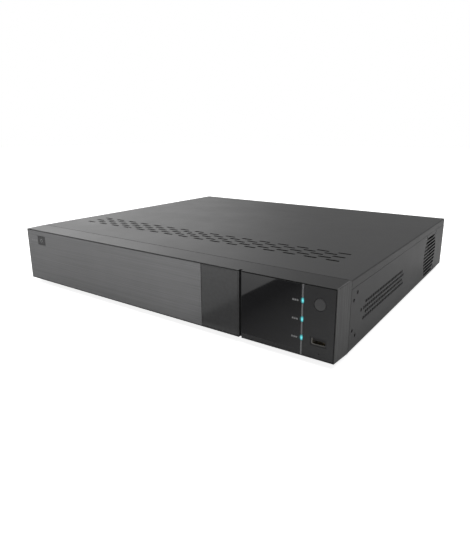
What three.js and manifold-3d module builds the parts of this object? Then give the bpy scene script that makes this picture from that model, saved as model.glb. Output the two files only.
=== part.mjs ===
// A rack-width digital video recorder: steel case, moulded front bezel, disks, boards, supply, side fan
// and the sockets of its rear panel. Millimetres, +X right, +Y back, +Z up, origin on the resting plane
// under the middle of the object's box. Pieces that touch keep a gap of CLEARANCE.
import * as THREE from "three";
import { mergeVertices } from "three/addons/utils/BufferGeometryUtils.js";
import Module from "manifold-3d";

const wasm = await Module();
wasm.setup();

// ---- Driving dimensions -----------------------------------------------------------------------------
// Case coordinates: y is the distance behind the front face, z the height above the case's underside.
const WIDTH = 440; // 19-inch equipment width between the rack ears
const DEPTH = 388; // front face to the outside of the rear panel
const HEIGHT = 68; // one and a half rack units
const FOOT_HEIGHT = 6;
const REAR_REACH = 11; // how far the video sockets stand out of the rear panel
const SHEET = 1; // steel sheet
const CLEARANCE = 0.3;
const HALF_GAP = CLEARANCE / 2; // each side of a line between two panels

const BEZEL_DEPTH = 27;
const BEZEL_WALL = 2.2;
const BEZEL_DRAFT = 1.5; // how much narrower each end is at the front face
const BEZEL_RIM = 0.8;
const PANEL_THICKNESS = 2;
const FACE_LOW = 0.6; // lower and upper edges of the front face
const FACE_HIGH = HEIGHT - 0.6;

const LIP = 8; // how far the cover laps down over the sides
const FLANGE = 9; // and down over the rear panel
const STEP_IN = 1 + CLEARANCE; // the joggle that lets the lip lie flush

// Upright divisions of the front face, in x
const STRIP_LEFT = 76.45;
const CABLE_WINDOW = { x: [132, 212], z: [8, 60] }; // in the tray's front wall, behind the controls
const GROOVE_LEFT = 121.5;
const GROOVE_RIGHT = 124.3;
const GUIDE_LEFT = 186.45;
const GUIDE_RIGHT = 188.35;
const LAMP_HEIGHTS = [51.5, 34.5, 17.5];
const LAMP_TALL = 5;
const BUTTON = { x: 203.5, z: 50.8, radius: 5.2 };
const FRONT_USB = { x: 203.4, z: 17, cutWide: 14.8, cutTall: 7.6 };
const RESET_HOLE = { x: 204.5, z: 6.4, radius: 0.5 };
const BADGE = { x: -188.5, z: 54.5, wide: 15, tall: 11 };

// Vents and holes in the sheet
const TOP_VENT = {
  left: -185, front: 78, pitch: 24.3, rowPitch: 7.75, rows: 5, perRow: 16, long: 14.5, wide: 3.6,
};
const SIDE_VENT = { rows: [38, 33, 28, 23], first: 66, pitch: 5, perRow: 24, radius: 2.1 };
const SIDE_SLOTS = { first: 74, pitch: 20, perRow: 6, long: 17, wide: 3 };
const FLOOR_VENT = { left: -60, pitch: 22, perRow: 7, rows: [270, 288], long: 12, wide: 4 };
const REAR_VENT = { left: -204, right: 60, pitch: 12, z: 49, tall: 9, wide: 3.6 };
const GRILLE = { z: 29.8, radius: 31, pitch: 4.8, wide: 3, rowsEachSide: 5 };
const EAR_HOLES = { radius: 1.7, at: [[42, 53.5], [34, 48], [54, 33], [33.5, 19.5], [41.5, 12.5]] };
const REAR_CORNER = 4; // bevelled lower corner of the sides

const FAN = { y: 311.5, z: 31.3, size: 60, thick: 15, pitch: 50, inner: 202.2 };
const BOARD_Z = 7; // underside of the main board
const BOARD_THICK = 1.6;
const SOCKET_BASE = BOARD_Z + BOARD_THICK + CLEARANCE;

const DISK = { wide: 101.6, deep: 147, tall: 26.1 };
const DISK_Z = 11.6;
const DISK_Y = 50;
const DISK_LEFT_EDGES = [-185, -75];

const ROCKER = { x: -152, z: 23, pivotY: DEPTH - 1, rest: -7.5 };
const INLET = { x: -190, z: 23 };

// ---- Solids -----------------------------------------------------------------------------------------
const AXES = {
  x: new THREE.Matrix4().makeBasis(
    new THREE.Vector3(0, 1, 0), new THREE.Vector3(0, 0, 1), new THREE.Vector3(1, 0, 0)),
  y: new THREE.Matrix4().makeBasis(
    new THREE.Vector3(0, 0, 1), new THREE.Vector3(1, 0, 0), new THREE.Vector3(0, 1, 0)),
  z: new THREE.Matrix4(),
};

function solid(geometry) {
  const bare = geometry.clone();
  bare.deleteAttribute("normal");
  bare.deleteAttribute("uv");
  const merged = mergeVertices(bare, 1e-4);
  return new wasm.Manifold(new wasm.Mesh({
    numProp: 3,
    vertProperties: new Float32Array(merged.attributes.position.array),
    triVerts: new Uint32Array(merged.index.array),
  }));
}

function geometryOf(manifold) {
  const mesh = manifold.getMesh();
  const geometry = new THREE.BufferGeometry();
  geometry.setAttribute("position", new THREE.BufferAttribute(mesh.vertProperties, mesh.numProp));
  geometry.setIndex(new THREE.BufferAttribute(mesh.triVerts, 1));
  geometry.computeVertexNormals();
  return geometry;
}

// A box between two x, two y and two z values.
function block([x0, x1], [y0, y1], [z0, z1]) {
  const box = new THREE.BoxGeometry(x1 - x0, y1 - y0, z1 - z0);
  box.translate((x0 + x1) / 2, (y0 + y1) / 2, (z0 + z1) / 2);
  return solid(box);
}

// An outline extruded along an axis. Its own two coordinates are y,z for x; z,x for y; x,y for z.
function prism(axis, [from, to], shape, curveSegments = 1) {
  const body = new THREE.ExtrudeGeometry(shape, {
    depth: to - from, bevelEnabled: false, curveSegments,
  });
  body.translate(0, 0, from);
  return solid(body.applyMatrix4(AXES[axis]));
}

function outline(points) {
  return new THREE.Shape(points.map(([u, v]) => new THREE.Vector2(u, v)));
}

// A regular polygon of the given radius; many sides stand for a circle.
function polygon(sides, radius, [u, v] = [0, 0], turn = 0) {
  const corner = (k) => turn + (2 * Math.PI * k) / sides;
  return outline(Array.from({ length: sides }, (_, k) => [
    u + radius * Math.cos(corner(k)), v + radius * Math.sin(corner(k)),
  ]));
}

function rod(axis, range, radius, centre, sides = 16) {
  return prism(axis, range, polygon(sides, radius, centre));
}

// A slot with round ends, each drawn as two edges, its long side along the outline's first coordinate or
// its second.
function obround(length, width, [u, v], upright = false) {
  const reach = (length - width) / 2;
  const radius = width / 2;
  const shape = new THREE.Shape();
  if (upright) {
    shape.absarc(u, v + reach, radius, 0, Math.PI, false);
    shape.absarc(u, v - reach, radius, Math.PI, 2 * Math.PI, false);
  } else {
    shape.absarc(u + reach, v, radius, -Math.PI / 2, Math.PI / 2, false);
    shape.absarc(u - reach, v, radius, Math.PI / 2, (3 * Math.PI) / 2, false);
  }
  return shape;
}

// A box whose back end is larger than its front, for a moulding with draft.
function drafted([y0, y1], front, back) {
  const box = new THREE.BoxGeometry(2, 2, 2);
  const position = box.attributes.position;
  for (let k = 0; k < position.count; k += 1) {
    const end = position.getY(k) < 0 ? front : back;
    const x = position.getX(k) * end.halfWidth;
    const z = position.getZ(k) < 0 ? end.low : end.high;
    position.setXYZ(k, x, position.getY(k) < 0 ? y0 : y1, z);
  }
  return solid(box);
}

function join(solids) {
  return solids.reduce((whole, piece) => whole.add(piece));
}

// A round lead along a smooth curve through hand-chosen points.
function lead(points, radius, steps = 14) {
  const curve = new THREE.CatmullRomCurve3(points.map((p) => new THREE.Vector3(...p)));
  return solid(new THREE.ExtrudeGeometry(polygon(6, radius), {
    steps, extrudePath: curve, bevelEnabled: false,
  }));
}

// ---- Scene graph ------------------------------------------------------------------------------------
const recorder = new THREE.Group();
const caseFrame = new THREE.Group(); // case coordinates
caseFrame.position.set(0, -(DEPTH + REAR_REACH) / 2, FOOT_HEIGHT);
recorder.add(caseFrame);

function finish(colour, roughness, metalness = 0) {
  return { color: colour, roughness, metalness };
}

const PAINTED_STEEL = finish(0x4a4a4c, 0.55, 0.3);
const BARE_STEEL = finish(0xa8abae, 0.35, 1);
const MOULDING = finish(0x505052, 0.5);
const BLACK_PLASTIC = finish(0x161617, 0.55);
const BLACK_GLOSS = finish(0x0b0b0d, 0.08);
const BOARD_GREEN = finish(0x0f4a2c, 0.5);
const ALUMINIUM = finish(0xb9bcc0, 0.4, 1);

function add(name, manifold, look, place = [0, 0, 0]) {
  const mesh = new THREE.Mesh(geometryOf(manifold), new THREE.MeshStandardMaterial(look));
  mesh.name = name;
  mesh.position.set(...place);
  caseFrame.add(mesh);
  return mesh;
}

// ---- Base tray: floor, front wall and joggled sides of one folded sheet --------------------------------
const SIDE = WIDTH / 2;
const TRAY_FRONT = BEZEL_DEPTH + CLEARANCE;
const TRAY_BACK = DEPTH - SHEET - CLEARANCE;
const COVER_UNDER = HEIGHT - SHEET;
const TRAY_TOP = COVER_UNDER - CLEARANCE;
const SEAM = HEIGHT - LIP - CLEARANCE;

// Rack ear screws: distance behind the front face, height.
function earHoles() {
  return EAR_HOLES.at.map((centre) => polygon(8, EAR_HOLES.radius, centre));
}

// Right side: staggered rows of small holes beside the disks.
function perforatedRows() {
  const { rows, first, pitch, perRow, radius } = SIDE_VENT;
  return rows.flatMap((z, row) => {
    const inset = row % 2;
    return Array.from({ length: perRow + 2 * inset }, (_, k) =>
      polygon(4, radius, [first - inset * pitch + k * pitch, z]));
  });
}

// Left side: the same field cut as short slots.
function slottedRows() {
  const { first, pitch, perRow, long, wide } = SIDE_SLOTS;
  return SIDE_VENT.rows.flatMap((z) => Array.from({ length: perRow }, (_, k) =>
    obround(long, wide, [first + k * pitch, z])));
}

// A round field of slots over the fan.
function fanGrille() {
  const slots = [];
  for (let row = -GRILLE.rowsEachSide; row <= GRILLE.rowsEachSide; row += 1) {
    const rise = row * GRILLE.pitch;
    const reach = Math.sqrt(GRILLE.radius ** 2 - rise ** 2);
    slots.push(obround(2 * reach, GRILLE.wide, [FAN.y, GRILLE.z + rise]));
  }
  return slots;
}

function trayStep(sign) {
  const inner = SIDE - SHEET - STEP_IN;
  const sheet = (a, b) => (sign > 0 ? [a, b] : [-b, -a]);
  return join([
    block(sheet(SIDE - SHEET, SIDE), [TRAY_FRONT, TRAY_BACK], [0, SEAM]),
    block(sheet(inner, SIDE), [TRAY_FRONT, TRAY_BACK], [SEAM - SHEET, SEAM]),
    block(sheet(inner, inner + SHEET), [TRAY_FRONT, TRAY_BACK], [SEAM - SHEET, TRAY_TOP]),
  ]);
}

const STANDOFFS = [-98, 0, 96, 190].flatMap((x) => [[x, 240], [x, 352]]);

function baseTray() {
  const inner = SIDE - SHEET - STEP_IN;
  const frontFold = 8;
  const tray = join([
    block([-SIDE, SIDE], [TRAY_FRONT, TRAY_BACK], [0, SHEET]),
    trayStep(1),
    trayStep(-1),
    block([-inner, inner], [TRAY_FRONT, TRAY_FRONT + SHEET], [0, TRAY_TOP]),
    block([-inner, inner], [TRAY_FRONT, TRAY_FRONT + frontFold], [TRAY_TOP - SHEET, TRAY_TOP]),
    ...STANDOFFS.map((at) => rod("z", [SHEET / 2, BOARD_Z - CLEARANCE], 3, at, 8)),
  ]);
  const cut = (shape, range) => prism("x", range, shape);
  const right = [SIDE - 1.5, SIDE + 1];
  const left = [-SIDE - 1, -SIDE + 1.5];
  const fan = FAN_HOLES.map((centre) => polygon(8, 3.1, centre));
  const openings = [
    ...[...earHoles(), ...perforatedRows(), ...fanGrille(), ...fan].map((shape) => cut(shape, right)),
    ...[...earHoles(), ...slottedRows()].map((shape) => cut(shape, left)),
    ...floorVents(),
    block(CABLE_WINDOW.x, [TRAY_FRONT - 1, TRAY_FRONT + 2], CABLE_WINDOW.z),
    cornerCut(REAR_CORNER),
  ];
  return tray.subtract(join(openings));
}

const FAN_HOLES = [[-1, 1], [1, 1], [-1, -1], [1, -1]].map(([a, b]) => [
  FAN.y + (a * FAN.pitch) / 2, FAN.z + (b * FAN.pitch) / 2,
]);

function floorVents() {
  const { left, pitch, perRow, rows, long, wide } = FLOOR_VENT;
  return rows.flatMap((y) => Array.from({ length: perRow }, (_, k) =>
    prism("z", [-1, SHEET + 1], obround(long, wide, [left + k * pitch, y], true))));
}

function cornerCut(size) {
  return prism("x", [-SIDE - 1, SIDE + 1], outline([
    [TRAY_BACK - size, -1], [TRAY_BACK + 1, -1], [TRAY_BACK + 1, size],
  ]));
}

add("base_tray", baseTray(), PAINTED_STEEL);

// ---- Cover: vented sheet, and the skirt of its side lips and rear flange ------------------------------
const COVER_FRONT = TRAY_FRONT;
const COVER_SCREWS_X = [-170, 0, 170];
const COVER_SCREW_Z = HEIGHT - 4.6;

function topVent() {
  const { left, front, pitch, rowPitch, rows, perRow, long, wide } = TOP_VENT;
  return Array.from({ length: rows }, (_, row) => row).flatMap((row) => {
    const shifted = row % 2;
    return Array.from({ length: perRow - shifted }, (_, k) =>
      obround(long, wide, [left + pitch * (k + shifted / 2), front + row * rowPitch]));
  });
}

function coverSheet() {
  const sheet = outline([[-SIDE, COVER_FRONT], [SIDE, COVER_FRONT], [SIDE, DEPTH], [-SIDE, DEPTH]]);
  sheet.holes.push(...topVent());
  return prism("z", [COVER_UNDER, HEIGHT], sheet);
}

function coverSkirt() {
  const top = COVER_UNDER - CLEARANCE;
  const low = HEIGHT - FLANGE;
  const flange = outline([[low, -SIDE], [low, SIDE], [top, SIDE], [top, -SIDE]]);
  flange.holes.push(...COVER_SCREWS_X.map((x) => polygon(10, 1.9, [COVER_SCREW_Z, x])));
  return join([
    prism("y", [DEPTH - SHEET, DEPTH], flange),
    block([-SIDE, -SIDE + SHEET], [COVER_FRONT, DEPTH - SHEET / 2], [HEIGHT - LIP, top]),
    block([SIDE - SHEET, SIDE], [COVER_FRONT, DEPTH - SHEET / 2], [HEIGHT - LIP, top]),
  ]);
}

add("top_cover", coverSheet(), PAINTED_STEEL);
add("cover_skirt", coverSkirt(), PAINTED_STEEL);
COVER_SCREWS_X.forEach((x, k) => {
  const screw = join([
    rod("y", [CLEARANCE, 2.2], 3.3, [0, 0], 12),
    rod("y", [-0.9, 1], 1.5, [0, 0], 10),
  ]).subtract(join([
    block([-2, 2], [1.4, 3], [-0.4, 0.4]),
    block([-0.4, 0.4], [1.4, 3], [-2, 2]),
  ]));
  add(`cover_screw_${k + 1}`, screw, BARE_STEEL, [x, DEPTH, COVER_SCREW_Z]);
});

// ---- Front bezel and what is set into it --------------------------------------------------------------
const PANEL_EDGE = SIDE - BEZEL_DRAFT - BEZEL_RIM; // inside of the rim
const RIM_LOW = FACE_LOW + BEZEL_RIM;
const RIM_HIGH = FACE_HIGH - BEZEL_RIM;
const SEAT = PANEL_THICKNESS + CLEARANCE; // where the bezel's own wall begins
const WALL_BACK = SEAT + 2.4;
const PANEL_LOW = RIM_LOW + CLEARANCE;
const PANEL_HIGH = RIM_HIGH - CLEARANCE;
const PANEL_SPAN = [0, PANEL_THICKNESS];

function frontBezel() {
  const shell = drafted([0, BEZEL_DEPTH],
    { halfWidth: SIDE - BEZEL_DRAFT, low: FACE_LOW, high: FACE_HIGH },
    { halfWidth: SIDE, low: 0, high: HEIGHT });
  const hollow = drafted([WALL_BACK, BEZEL_DEPTH + 1],
    { halfWidth: SIDE - BEZEL_DRAFT - BEZEL_WALL, low: RIM_LOW + 1.4, high: RIM_HIGH - 1.4 },
    { halfWidth: SIDE - BEZEL_WALL, low: BEZEL_WALL, high: HEIGHT - BEZEL_WALL });
  const through = [SEAT - 1, WALL_BACK + 1];
  return shell.subtract(join([
    hollow,
    block([-PANEL_EDGE, PANEL_EDGE], [-1, SEAT], [RIM_LOW, RIM_HIGH]),
    block([GROOVE_LEFT, GROOVE_RIGHT], [-1, SEAT + 1], [FACE_LOW - 1, FACE_HIGH + 1]),
    block([GUIDE_LEFT - 0.4, GUIDE_RIGHT + 0.4], through, [PANEL_LOW + 3, PANEL_HIGH - 3]),
    block([FRONT_USB.x - 8, FRONT_USB.x + 8], through, [FRONT_USB.z - 4.4, FRONT_USB.z + 4.4]),
    block([132, 180], through, [24, 58]),
    rod("y", through, 7.2, [BUTTON.z, BUTTON.x], 20),
  ]));
}

add("front_bezel", frontBezel(), MOULDING);

const fascia = block([-PANEL_EDGE + CLEARANCE, STRIP_LEFT - HALF_GAP], PANEL_SPAN, [PANEL_LOW, PANEL_HIGH])
  .subtract(block(
    [BADGE.x - BADGE.wide / 2 - CLEARANCE, BADGE.x + BADGE.wide / 2 + CLEARANCE], [-1, 0.9],
    [BADGE.z - BADGE.tall / 2 - CLEARANCE, BADGE.z + BADGE.tall / 2 + CLEARANCE]));
add("brushed_fascia", fascia, finish(0x5c5c5e, 0.35, 0.8));
add("badge_plate", block([-BADGE.wide / 2, BADGE.wide / 2], [0, 0.6], [-BADGE.tall / 2, BADGE.tall / 2]),
  BLACK_PLASTIC, [BADGE.x, 0, BADGE.z]);
add("gloss_strip", block([STRIP_LEFT + HALF_GAP, GROOVE_LEFT], PANEL_SPAN, [PANEL_LOW, PANEL_HIGH]),
  finish(0x2a2a2c, 0.1));
add("display_window", block([GROOVE_RIGHT, GUIDE_LEFT - HALF_GAP], PANEL_SPAN, [PANEL_LOW, PANEL_HIGH]),
  BLACK_GLOSS);

const controlPanel = block(
  [GUIDE_RIGHT + HALF_GAP, PANEL_EDGE - CLEARANCE], PANEL_SPAN, [PANEL_LOW, PANEL_HIGH],
).subtract(join([
  rod("y", [-1, 3], BUTTON.radius + CLEARANCE, [BUTTON.z, BUTTON.x], 24),
  rod("y", [-1, 3], RESET_HOLE.radius, [RESET_HOLE.z, RESET_HOLE.x], 8),
  block([FRONT_USB.x - FRONT_USB.cutWide / 2, FRONT_USB.x + FRONT_USB.cutWide / 2], [-1, 3],
    [FRONT_USB.z - FRONT_USB.cutTall / 2, FRONT_USB.z + FRONT_USB.cutTall / 2]),
]));
add("control_panel", controlPanel, finish(0x1c1c1e, 0.3));

// The light guide is one bar whose spine runs behind the lamps' lenses.
const guideX = [GUIDE_LEFT + HALF_GAP, GUIDE_RIGHT - HALF_GAP];
const guide = join([
  block(guideX, [0, PANEL_THICKNESS], [PANEL_LOW, PANEL_HIGH]),
  block(guideX, [PANEL_THICKNESS - 0.5, 7], [PANEL_LOW + 3.4, PANEL_HIGH - 3.4]),
]).subtract(join(LAMP_HEIGHTS.map((z) =>
  block([GUIDE_LEFT - 1, GUIDE_RIGHT + 1], [-1, 1.5],
    [z - LAMP_TALL / 2 - CLEARANCE, z + LAMP_TALL / 2 + CLEARANCE]))));
add("light_guide", guide, finish(0x8a8a8c, 0.3));
LAMP_HEIGHTS.forEach((z, k) => {
  const lens = block(guideX, [0, 1.2], [-LAMP_TALL / 2, LAMP_TALL / 2]);
  add(`status_lens_${k + 1}`, lens, finish(0x7ff2f0, 0.2), [0, 0, z]);
});

const button = join([
  rod("y", [0, PANEL_THICKNESS + 0.5], BUTTON.radius, [0, 0], 24),
  rod("y", [PANEL_THICKNESS + CLEARANCE, PANEL_THICKNESS + 1.3], 6.6, [0, 0], 20),
  rod("y", [PANEL_THICKNESS + 1, 7.9], 2.4, [0, 0], 12),
]);
add("power_button", button, finish(0x444446, 0.45), [BUTTON.x, 0, BUTTON.z]);

// Indicator board with the lamps, the button's switch and the infrared receiver soldered on.
const BOARD_FRONT = 12;
const indicatorBoard = join([
  block([118, 212], [BOARD_FRONT, BOARD_FRONT + BOARD_THICK], [6, 62]),
  ...LAMP_HEIGHTS.map((z) => block([186.2, 188.6], [9.2, BOARD_FRONT + 0.5], [z - 1.5, z + 1.5])),
  block([BUTTON.x - 3.1, BUTTON.x + 3.1], [10, BOARD_FRONT + 0.5], [BUTTON.z - 3.1, BUTTON.z + 3.1]),
  rod("y", [9.2, 10.5], 1.7, [BUTTON.z, BUTTON.x], 10),
  block([150, 156], [7, BOARD_FRONT + 0.5], [38, 45]),
  block([136, 154], [BOARD_FRONT, BOARD_FRONT + 7], [12, 17]),
]);
add("front_board", indicatorBoard, BOARD_GREEN);

function usbShell(halfWide, halfTall, [y0, y1]) {
  const wall = 0.5;
  return block([-halfWide, halfWide], [y0, y1], [-halfTall, halfTall]).subtract(
    block([-halfWide + wall, halfWide - wall], [y0 - 1, y1 - 1],
      [-halfTall + wall, halfTall - wall]));
}
add("front_usb_socket", usbShell(6.9, 3.3, [0.5, 11.7]), BARE_STEEL, [FRONT_USB.x, 0, FRONT_USB.z]);
add("front_usb_tongue", block([-5.6, 5.6], [2, 10.4], [0.3, 2.1]), BLACK_PLASTIC,
  [FRONT_USB.x, 0, FRONT_USB.z]);

// ---- Rear panel and its sockets -----------------------------------------------------------------------
const VIDEO_BLOCKS = [185, 149, 113, 77];
const VIDEO_ROWS = [18.5, 37];
const VIDEO_HALF_PITCH = 8.5;
const VGA = { x: 40, z: 16 };
const HDMI = { x: 11, z: 12 };
const NETWORK = { x: -11, z: 16 };
const REAR_USB = { x: -33, z: 17 };
const AUDIO = { x: -54, rows: [16, 30] };
const TERMINALS = { x: -85, count: 8, pitch: 3.5 };
const GROUND = { x: -120, z: 14 };

function rearPanel() {
  const top = HEIGHT - FLANGE - CLEARANCE;
  const inner = SIDE - SHEET - STEP_IN - CLEARANCE;
  const panel = join([
    block([-SIDE, SIDE], [DEPTH - SHEET, DEPTH], [0, top]),
    block([-inner, inner], [DEPTH - SHEET - STEP_IN, DEPTH], [top - SHEET, top]),
    block([-inner, inner], [DEPTH - SHEET - STEP_IN, DEPTH - STEP_IN], [top - SHEET, TRAY_TOP]),
  ]);
  const range = [DEPTH - 3, DEPTH + 1];
  const window = (x, z, halfWide, halfTall) =>
    block([x - halfWide, x + halfWide], range, [z - halfTall, z + halfTall]);
  const cuts = VIDEO_BLOCKS.flatMap((x) => [-1, 1].flatMap((side) => VIDEO_ROWS.map((z) =>
    rod("y", range, 7, [z, x + side * VIDEO_HALF_PITCH], 8))));
  for (let x = REAR_VENT.left; x <= REAR_VENT.right; x += REAR_VENT.pitch) {
    cuts.push(prism("y", range, obround(REAR_VENT.tall, REAR_VENT.wide, [REAR_VENT.z, x])));
  }
  COVER_SCREWS_X.forEach((x) => cuts.push(rod("y", range, 1.9, [COVER_SCREW_Z, x], 8)));
  return panel.subtract(join([
    ...cuts,
    window(VGA.x, VGA.z, 15.9, 6.7),
    window(HDMI.x, HDMI.z, 8, 3.4),
    window(NETWORK.x, NETWORK.z, 8.5, 7.4),
    window(REAR_USB.x, REAR_USB.z, 7.7, 8.4),
    ...AUDIO.rows.map((z) => rod("y", range, 4.9, [z, AUDIO.x], 14)),
    window(TERMINALS.x, 14.2, 15.4, 5.6),
    window(INLET.x, INLET.z, 14, 10.4),
    window(ROCKER.x, ROCKER.z, 7.1, 11.2),
    rod("y", range, 2, [GROUND.z, GROUND.x], 10),
  ]));
}
add("rear_panel", rearPanel(), PAINTED_STEEL);

// Four coaxial video sockets moulded in one block; y is measured from the outside of the rear panel.
function videoBlock() {
  const body = block([-17, 17], [-20, -SHEET - CLEARANCE], [SOCKET_BASE, 46]);
  const barrels = [-1, 1].flatMap((side) => VIDEO_ROWS.map((z) => {
    const centre = [z, side * VIDEO_HALF_PITCH];
    return join([
      rod("y", [-4, 1.2], 6.2, centre, 8),
      rod("y", [1, REAR_REACH], 4.8, centre, 10),
      block([centre[1] - 5.6, centre[1] + 5.6], [6.5, 8.3], [z - 0.9, z + 0.9]),
    ]).subtract(rod("y", [2, REAR_REACH + 1], 4, centre, 8))
      .add(rod("y", [1.5, 8.5], 1.9, centre, 6));
  }));
  return join([body, ...barrels]);
}
VIDEO_BLOCKS.forEach((x, k) => add(`video_block_${k + 1}`, videoBlock(), ALUMINIUM, [x, DEPTH, 0]));

// Fifteen-pin monitor socket: metal body, tapered shell filled by its pin block, and two hexagonal posts.
function vgaSocket() {
  const shellOutline = (inset) => outline([
    [-3.9 + inset, -7.4 + inset], [3.9 - inset, -8.6 + inset],
    [3.9 - inset, 8.6 - inset], [-3.9 + inset, 7.4 - inset],
  ]);
  const depth = VGA.z - SOCKET_BASE;
  return join([
    block([-15.5, 15.5], [-18, -1.4], [-depth, 6.3]),
    prism("y", [-2, 5.5], shellOutline(0)),
    ...[-12.5, 12.5].map((x) => rod("y", [-2, 4.6], 2.6, [0, x], 6)),
  ]).subtract(prism("y", [4.7, 6.5], shellOutline(0.5)));
}
add("vga_socket", vgaSocket(), finish(0x1b3f8f, 0.4), [VGA.x, DEPTH, VGA.z]);

const hdmi = usbShell(7.6, 3, [-12, 0.6])
  .mirror([0, 1, 0]).translate([0, -11.4, 0])
  .add(block([-5.4, 5.4], [-11.5, -1.5], [-0.5, 0.5]));
add("hdmi_socket", hdmi, BARE_STEEL, [HDMI.x, DEPTH, HDMI.z]);

const networkSocket = block([-8.1, 8.1], [-21, 0.6], [SOCKET_BASE - NETWORK.z, 6.9]).subtract(join([
  block([-5.9, 5.9], [-13, 1.6], [-3.6, 4.6]),
  block([-3, 3], [-13, 1.6], [-5.6, -3.4]),
]));
add("network_socket", networkSocket, BARE_STEEL, [NETWORK.x, DEPTH, NETWORK.z]);

const usbPort = (z) => block([-6.6, 6.6], [-13, 1.6], [z - 2.8, z + 2.8]).subtract(
  block([-5.6, 5.6], [-14, -1], [z + 0.3, z + 2.1]));
const rearUsb = block([-7.3, 7.3], [-17, 0.6], [SOCKET_BASE - REAR_USB.z, 8])
  .subtract(join([usbPort(-3.9), usbPort(4)]));
add("rear_usb_socket", rearUsb, BARE_STEEL, [REAR_USB.x, DEPTH, REAR_USB.z]);

const audio = join([
  block([-5.5, 5.5], [-14, -SHEET - CLEARANCE], [SOCKET_BASE, 36]),
  ...AUDIO.rows.map((z) => rod("y", [-3, 9], 4.2, [z, 0], 14)),
]).subtract(join(AUDIO.rows.map((z) => rod("y", [-1, 10], 1.7, [z, 0], 10))));
add("audio_socket", audio, finish(0x1a1a1b, 0.4), [AUDIO.x, DEPTH, 0]);

const terminalX = (k) => (k - (TERMINALS.count - 1) / 2) * TERMINALS.pitch;
const terminals = block([-15, 15], [-12, 4], [SOCKET_BASE, 19.4]).subtract(join(
  Array.from({ length: TERMINALS.count }, (_, k) => join([
    block([terminalX(k) - 1.2, terminalX(k) + 1.2], [-4, 5], [10.6, 13.4]),
    block([terminalX(k) - 1.1, terminalX(k) + 1.1], [2.4, 5], [15, 17.6]),
  ]))));
add("terminal_block", terminals, finish(0x1f8a4c, 0.5), [TERMINALS.x, DEPTH, 0]);

const groundScrew = join([
  rod("y", [CLEARANCE, 2.4], 3.6, [0, 0], 14),
  rod("y", [-7, 1], 1.6, [0, 0], 10),
]).subtract(block([-3.8, 3.8], [1.5, 3], [-0.5, 0.5]));
add("ground_screw", groundScrew, BARE_STEEL, [GROUND.x, DEPTH, GROUND.z]);

// Mains inlet: flange and body round a recess with three flat pins standing at its bottom.
function mainsInlet() {
  const recess = outline([
    [-7.8, -12], [3.4, -12], [7.8, -8], [7.8, 8], [3.4, 12], [-7.8, 12],
  ]);
  const pin = (x, z) => block([x - 1, x + 1], [-16, -3], [z - 2, z + 2]);
  return join([
    block([-16, 16], [CLEARANCE, 2.6], [-12.4, 12.4]),
    block([-13.7, 13.7], [-20, 1], [-10.1, 10.1]),
  ]).subtract(prism("y", [-15, 4], recess)).add(join([pin(-7, -1.6), pin(7, -1.6), pin(0, 2.4)]));
}
add("mains_inlet", mainsInlet(), BLACK_PLASTIC, [INLET.x, DEPTH, INLET.z]);

// Rocker switch: a housing with an open well, and a key pivoting in it.
const well = { halfWide: 6, halfTall: 10.2, deep: 9 };
const rockerHousing = join([
  block([-8, 8], [CLEARANCE, 2.2], [-12, 12]),
  block([-6.8, 6.8], [-14, 1], [-10.9, 10.9]),
]).subtract(
  block([-well.halfWide, well.halfWide], [-well.deep, 3], [-well.halfTall, well.halfTall]));
add("rocker_housing", rockerHousing, BLACK_PLASTIC, [ROCKER.x, DEPTH, ROCKER.z]);
const key = prism("x", [-5.6, 5.6], outline([
  [3.2, -9.4], [1.8, 0], [3.2, 9.4], [-1, 9.1], [-5.5, 4], [-5.5, -4], [-1, -9.1],
]));
add("rocker_key", key, finish(0x101011, 0.35), [ROCKER.x, ROCKER.pivotY, ROCKER.z])
  .rotation.x = THREE.MathUtils.degToRad(ROCKER.rest);

// ---- Inside -------------------------------------------------------------------------------------------
// Main board with its soldered chips, capacitors and plug headers.
const PROCESSOR = { x: 60, y: 285, half: 14 };
function mainBoard() {
  const top = BOARD_Z + BOARD_THICK;
  const onBoard = (x, y, halfX, halfY, tall) =>
    block([x - halfX, x + halfX], [y - halfY, y + halfY], [top - 0.3, top + tall]);
  const memory = [0, 1, 2, 3].map((k) => onBoard(20, 262 + k * 15, 7, 5, 1.2));
  const frontEnds = [0, 1, 2, 3].map((k) => onBoard(77 + 36 * k, 340, 8, 8, 1.4));
  const capacitors = [[-88, 262], [-88, 276], [-74, 262], [-40, 330], [-20, 330], [130, 262]];
  return join([
    block([-106, 198], [230, DEPTH - SHEET - CLEARANCE - 1], [BOARD_Z, top]),
    onBoard(PROCESSOR.x, PROCESSOR.y, PROCESSOR.half, PROCESSOR.half, 2),
    ...memory,
    ...frontEnds,
    ...capacitors.map((at) => rod("z", [top - 0.3, top + 12], 4, at, 10)),
    onBoard(-62, 236, 7, 3, 8),
    onBoard(-36, 236, 7, 3, 8),
    onBoard(-96, 300, 4, 12, 9),
    onBoard(145, 238, 9, 3, 6),
    onBoard(188, 292, 4, 4, 6),
  ]).subtract(join(STANDOFFS.map((at) => rod("z", [BOARD_Z - 1, top + 1], 1.6, at, 8))));
}
add("main_board", mainBoard(), BOARD_GREEN);

function heatSink() {
  const half = 22;
  const base = BOARD_Z + BOARD_THICK + 2 + CLEARANCE;
  const fins = Array.from({ length: 9 }, (_, k) => -half + 1 + (k * (2 * half - 2)) / 8);
  return join([
    block([-half, half], [-half, half], [base, base + 3]),
    ...fins.map((x) => block([x - 0.8, x + 0.8], [-half, half], [base + 2.5, base + 17])),
  ]);
}
add("heat_sink", heatSink(), ALUMINIUM, [PROCESSOR.x, PROCESSOR.y, 0]);
add("coin_cell", rod("z", [0, 3.2], 10, [0, 0], 24), BARE_STEEL, [-60, 300, SOCKET_BASE]);

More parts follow.
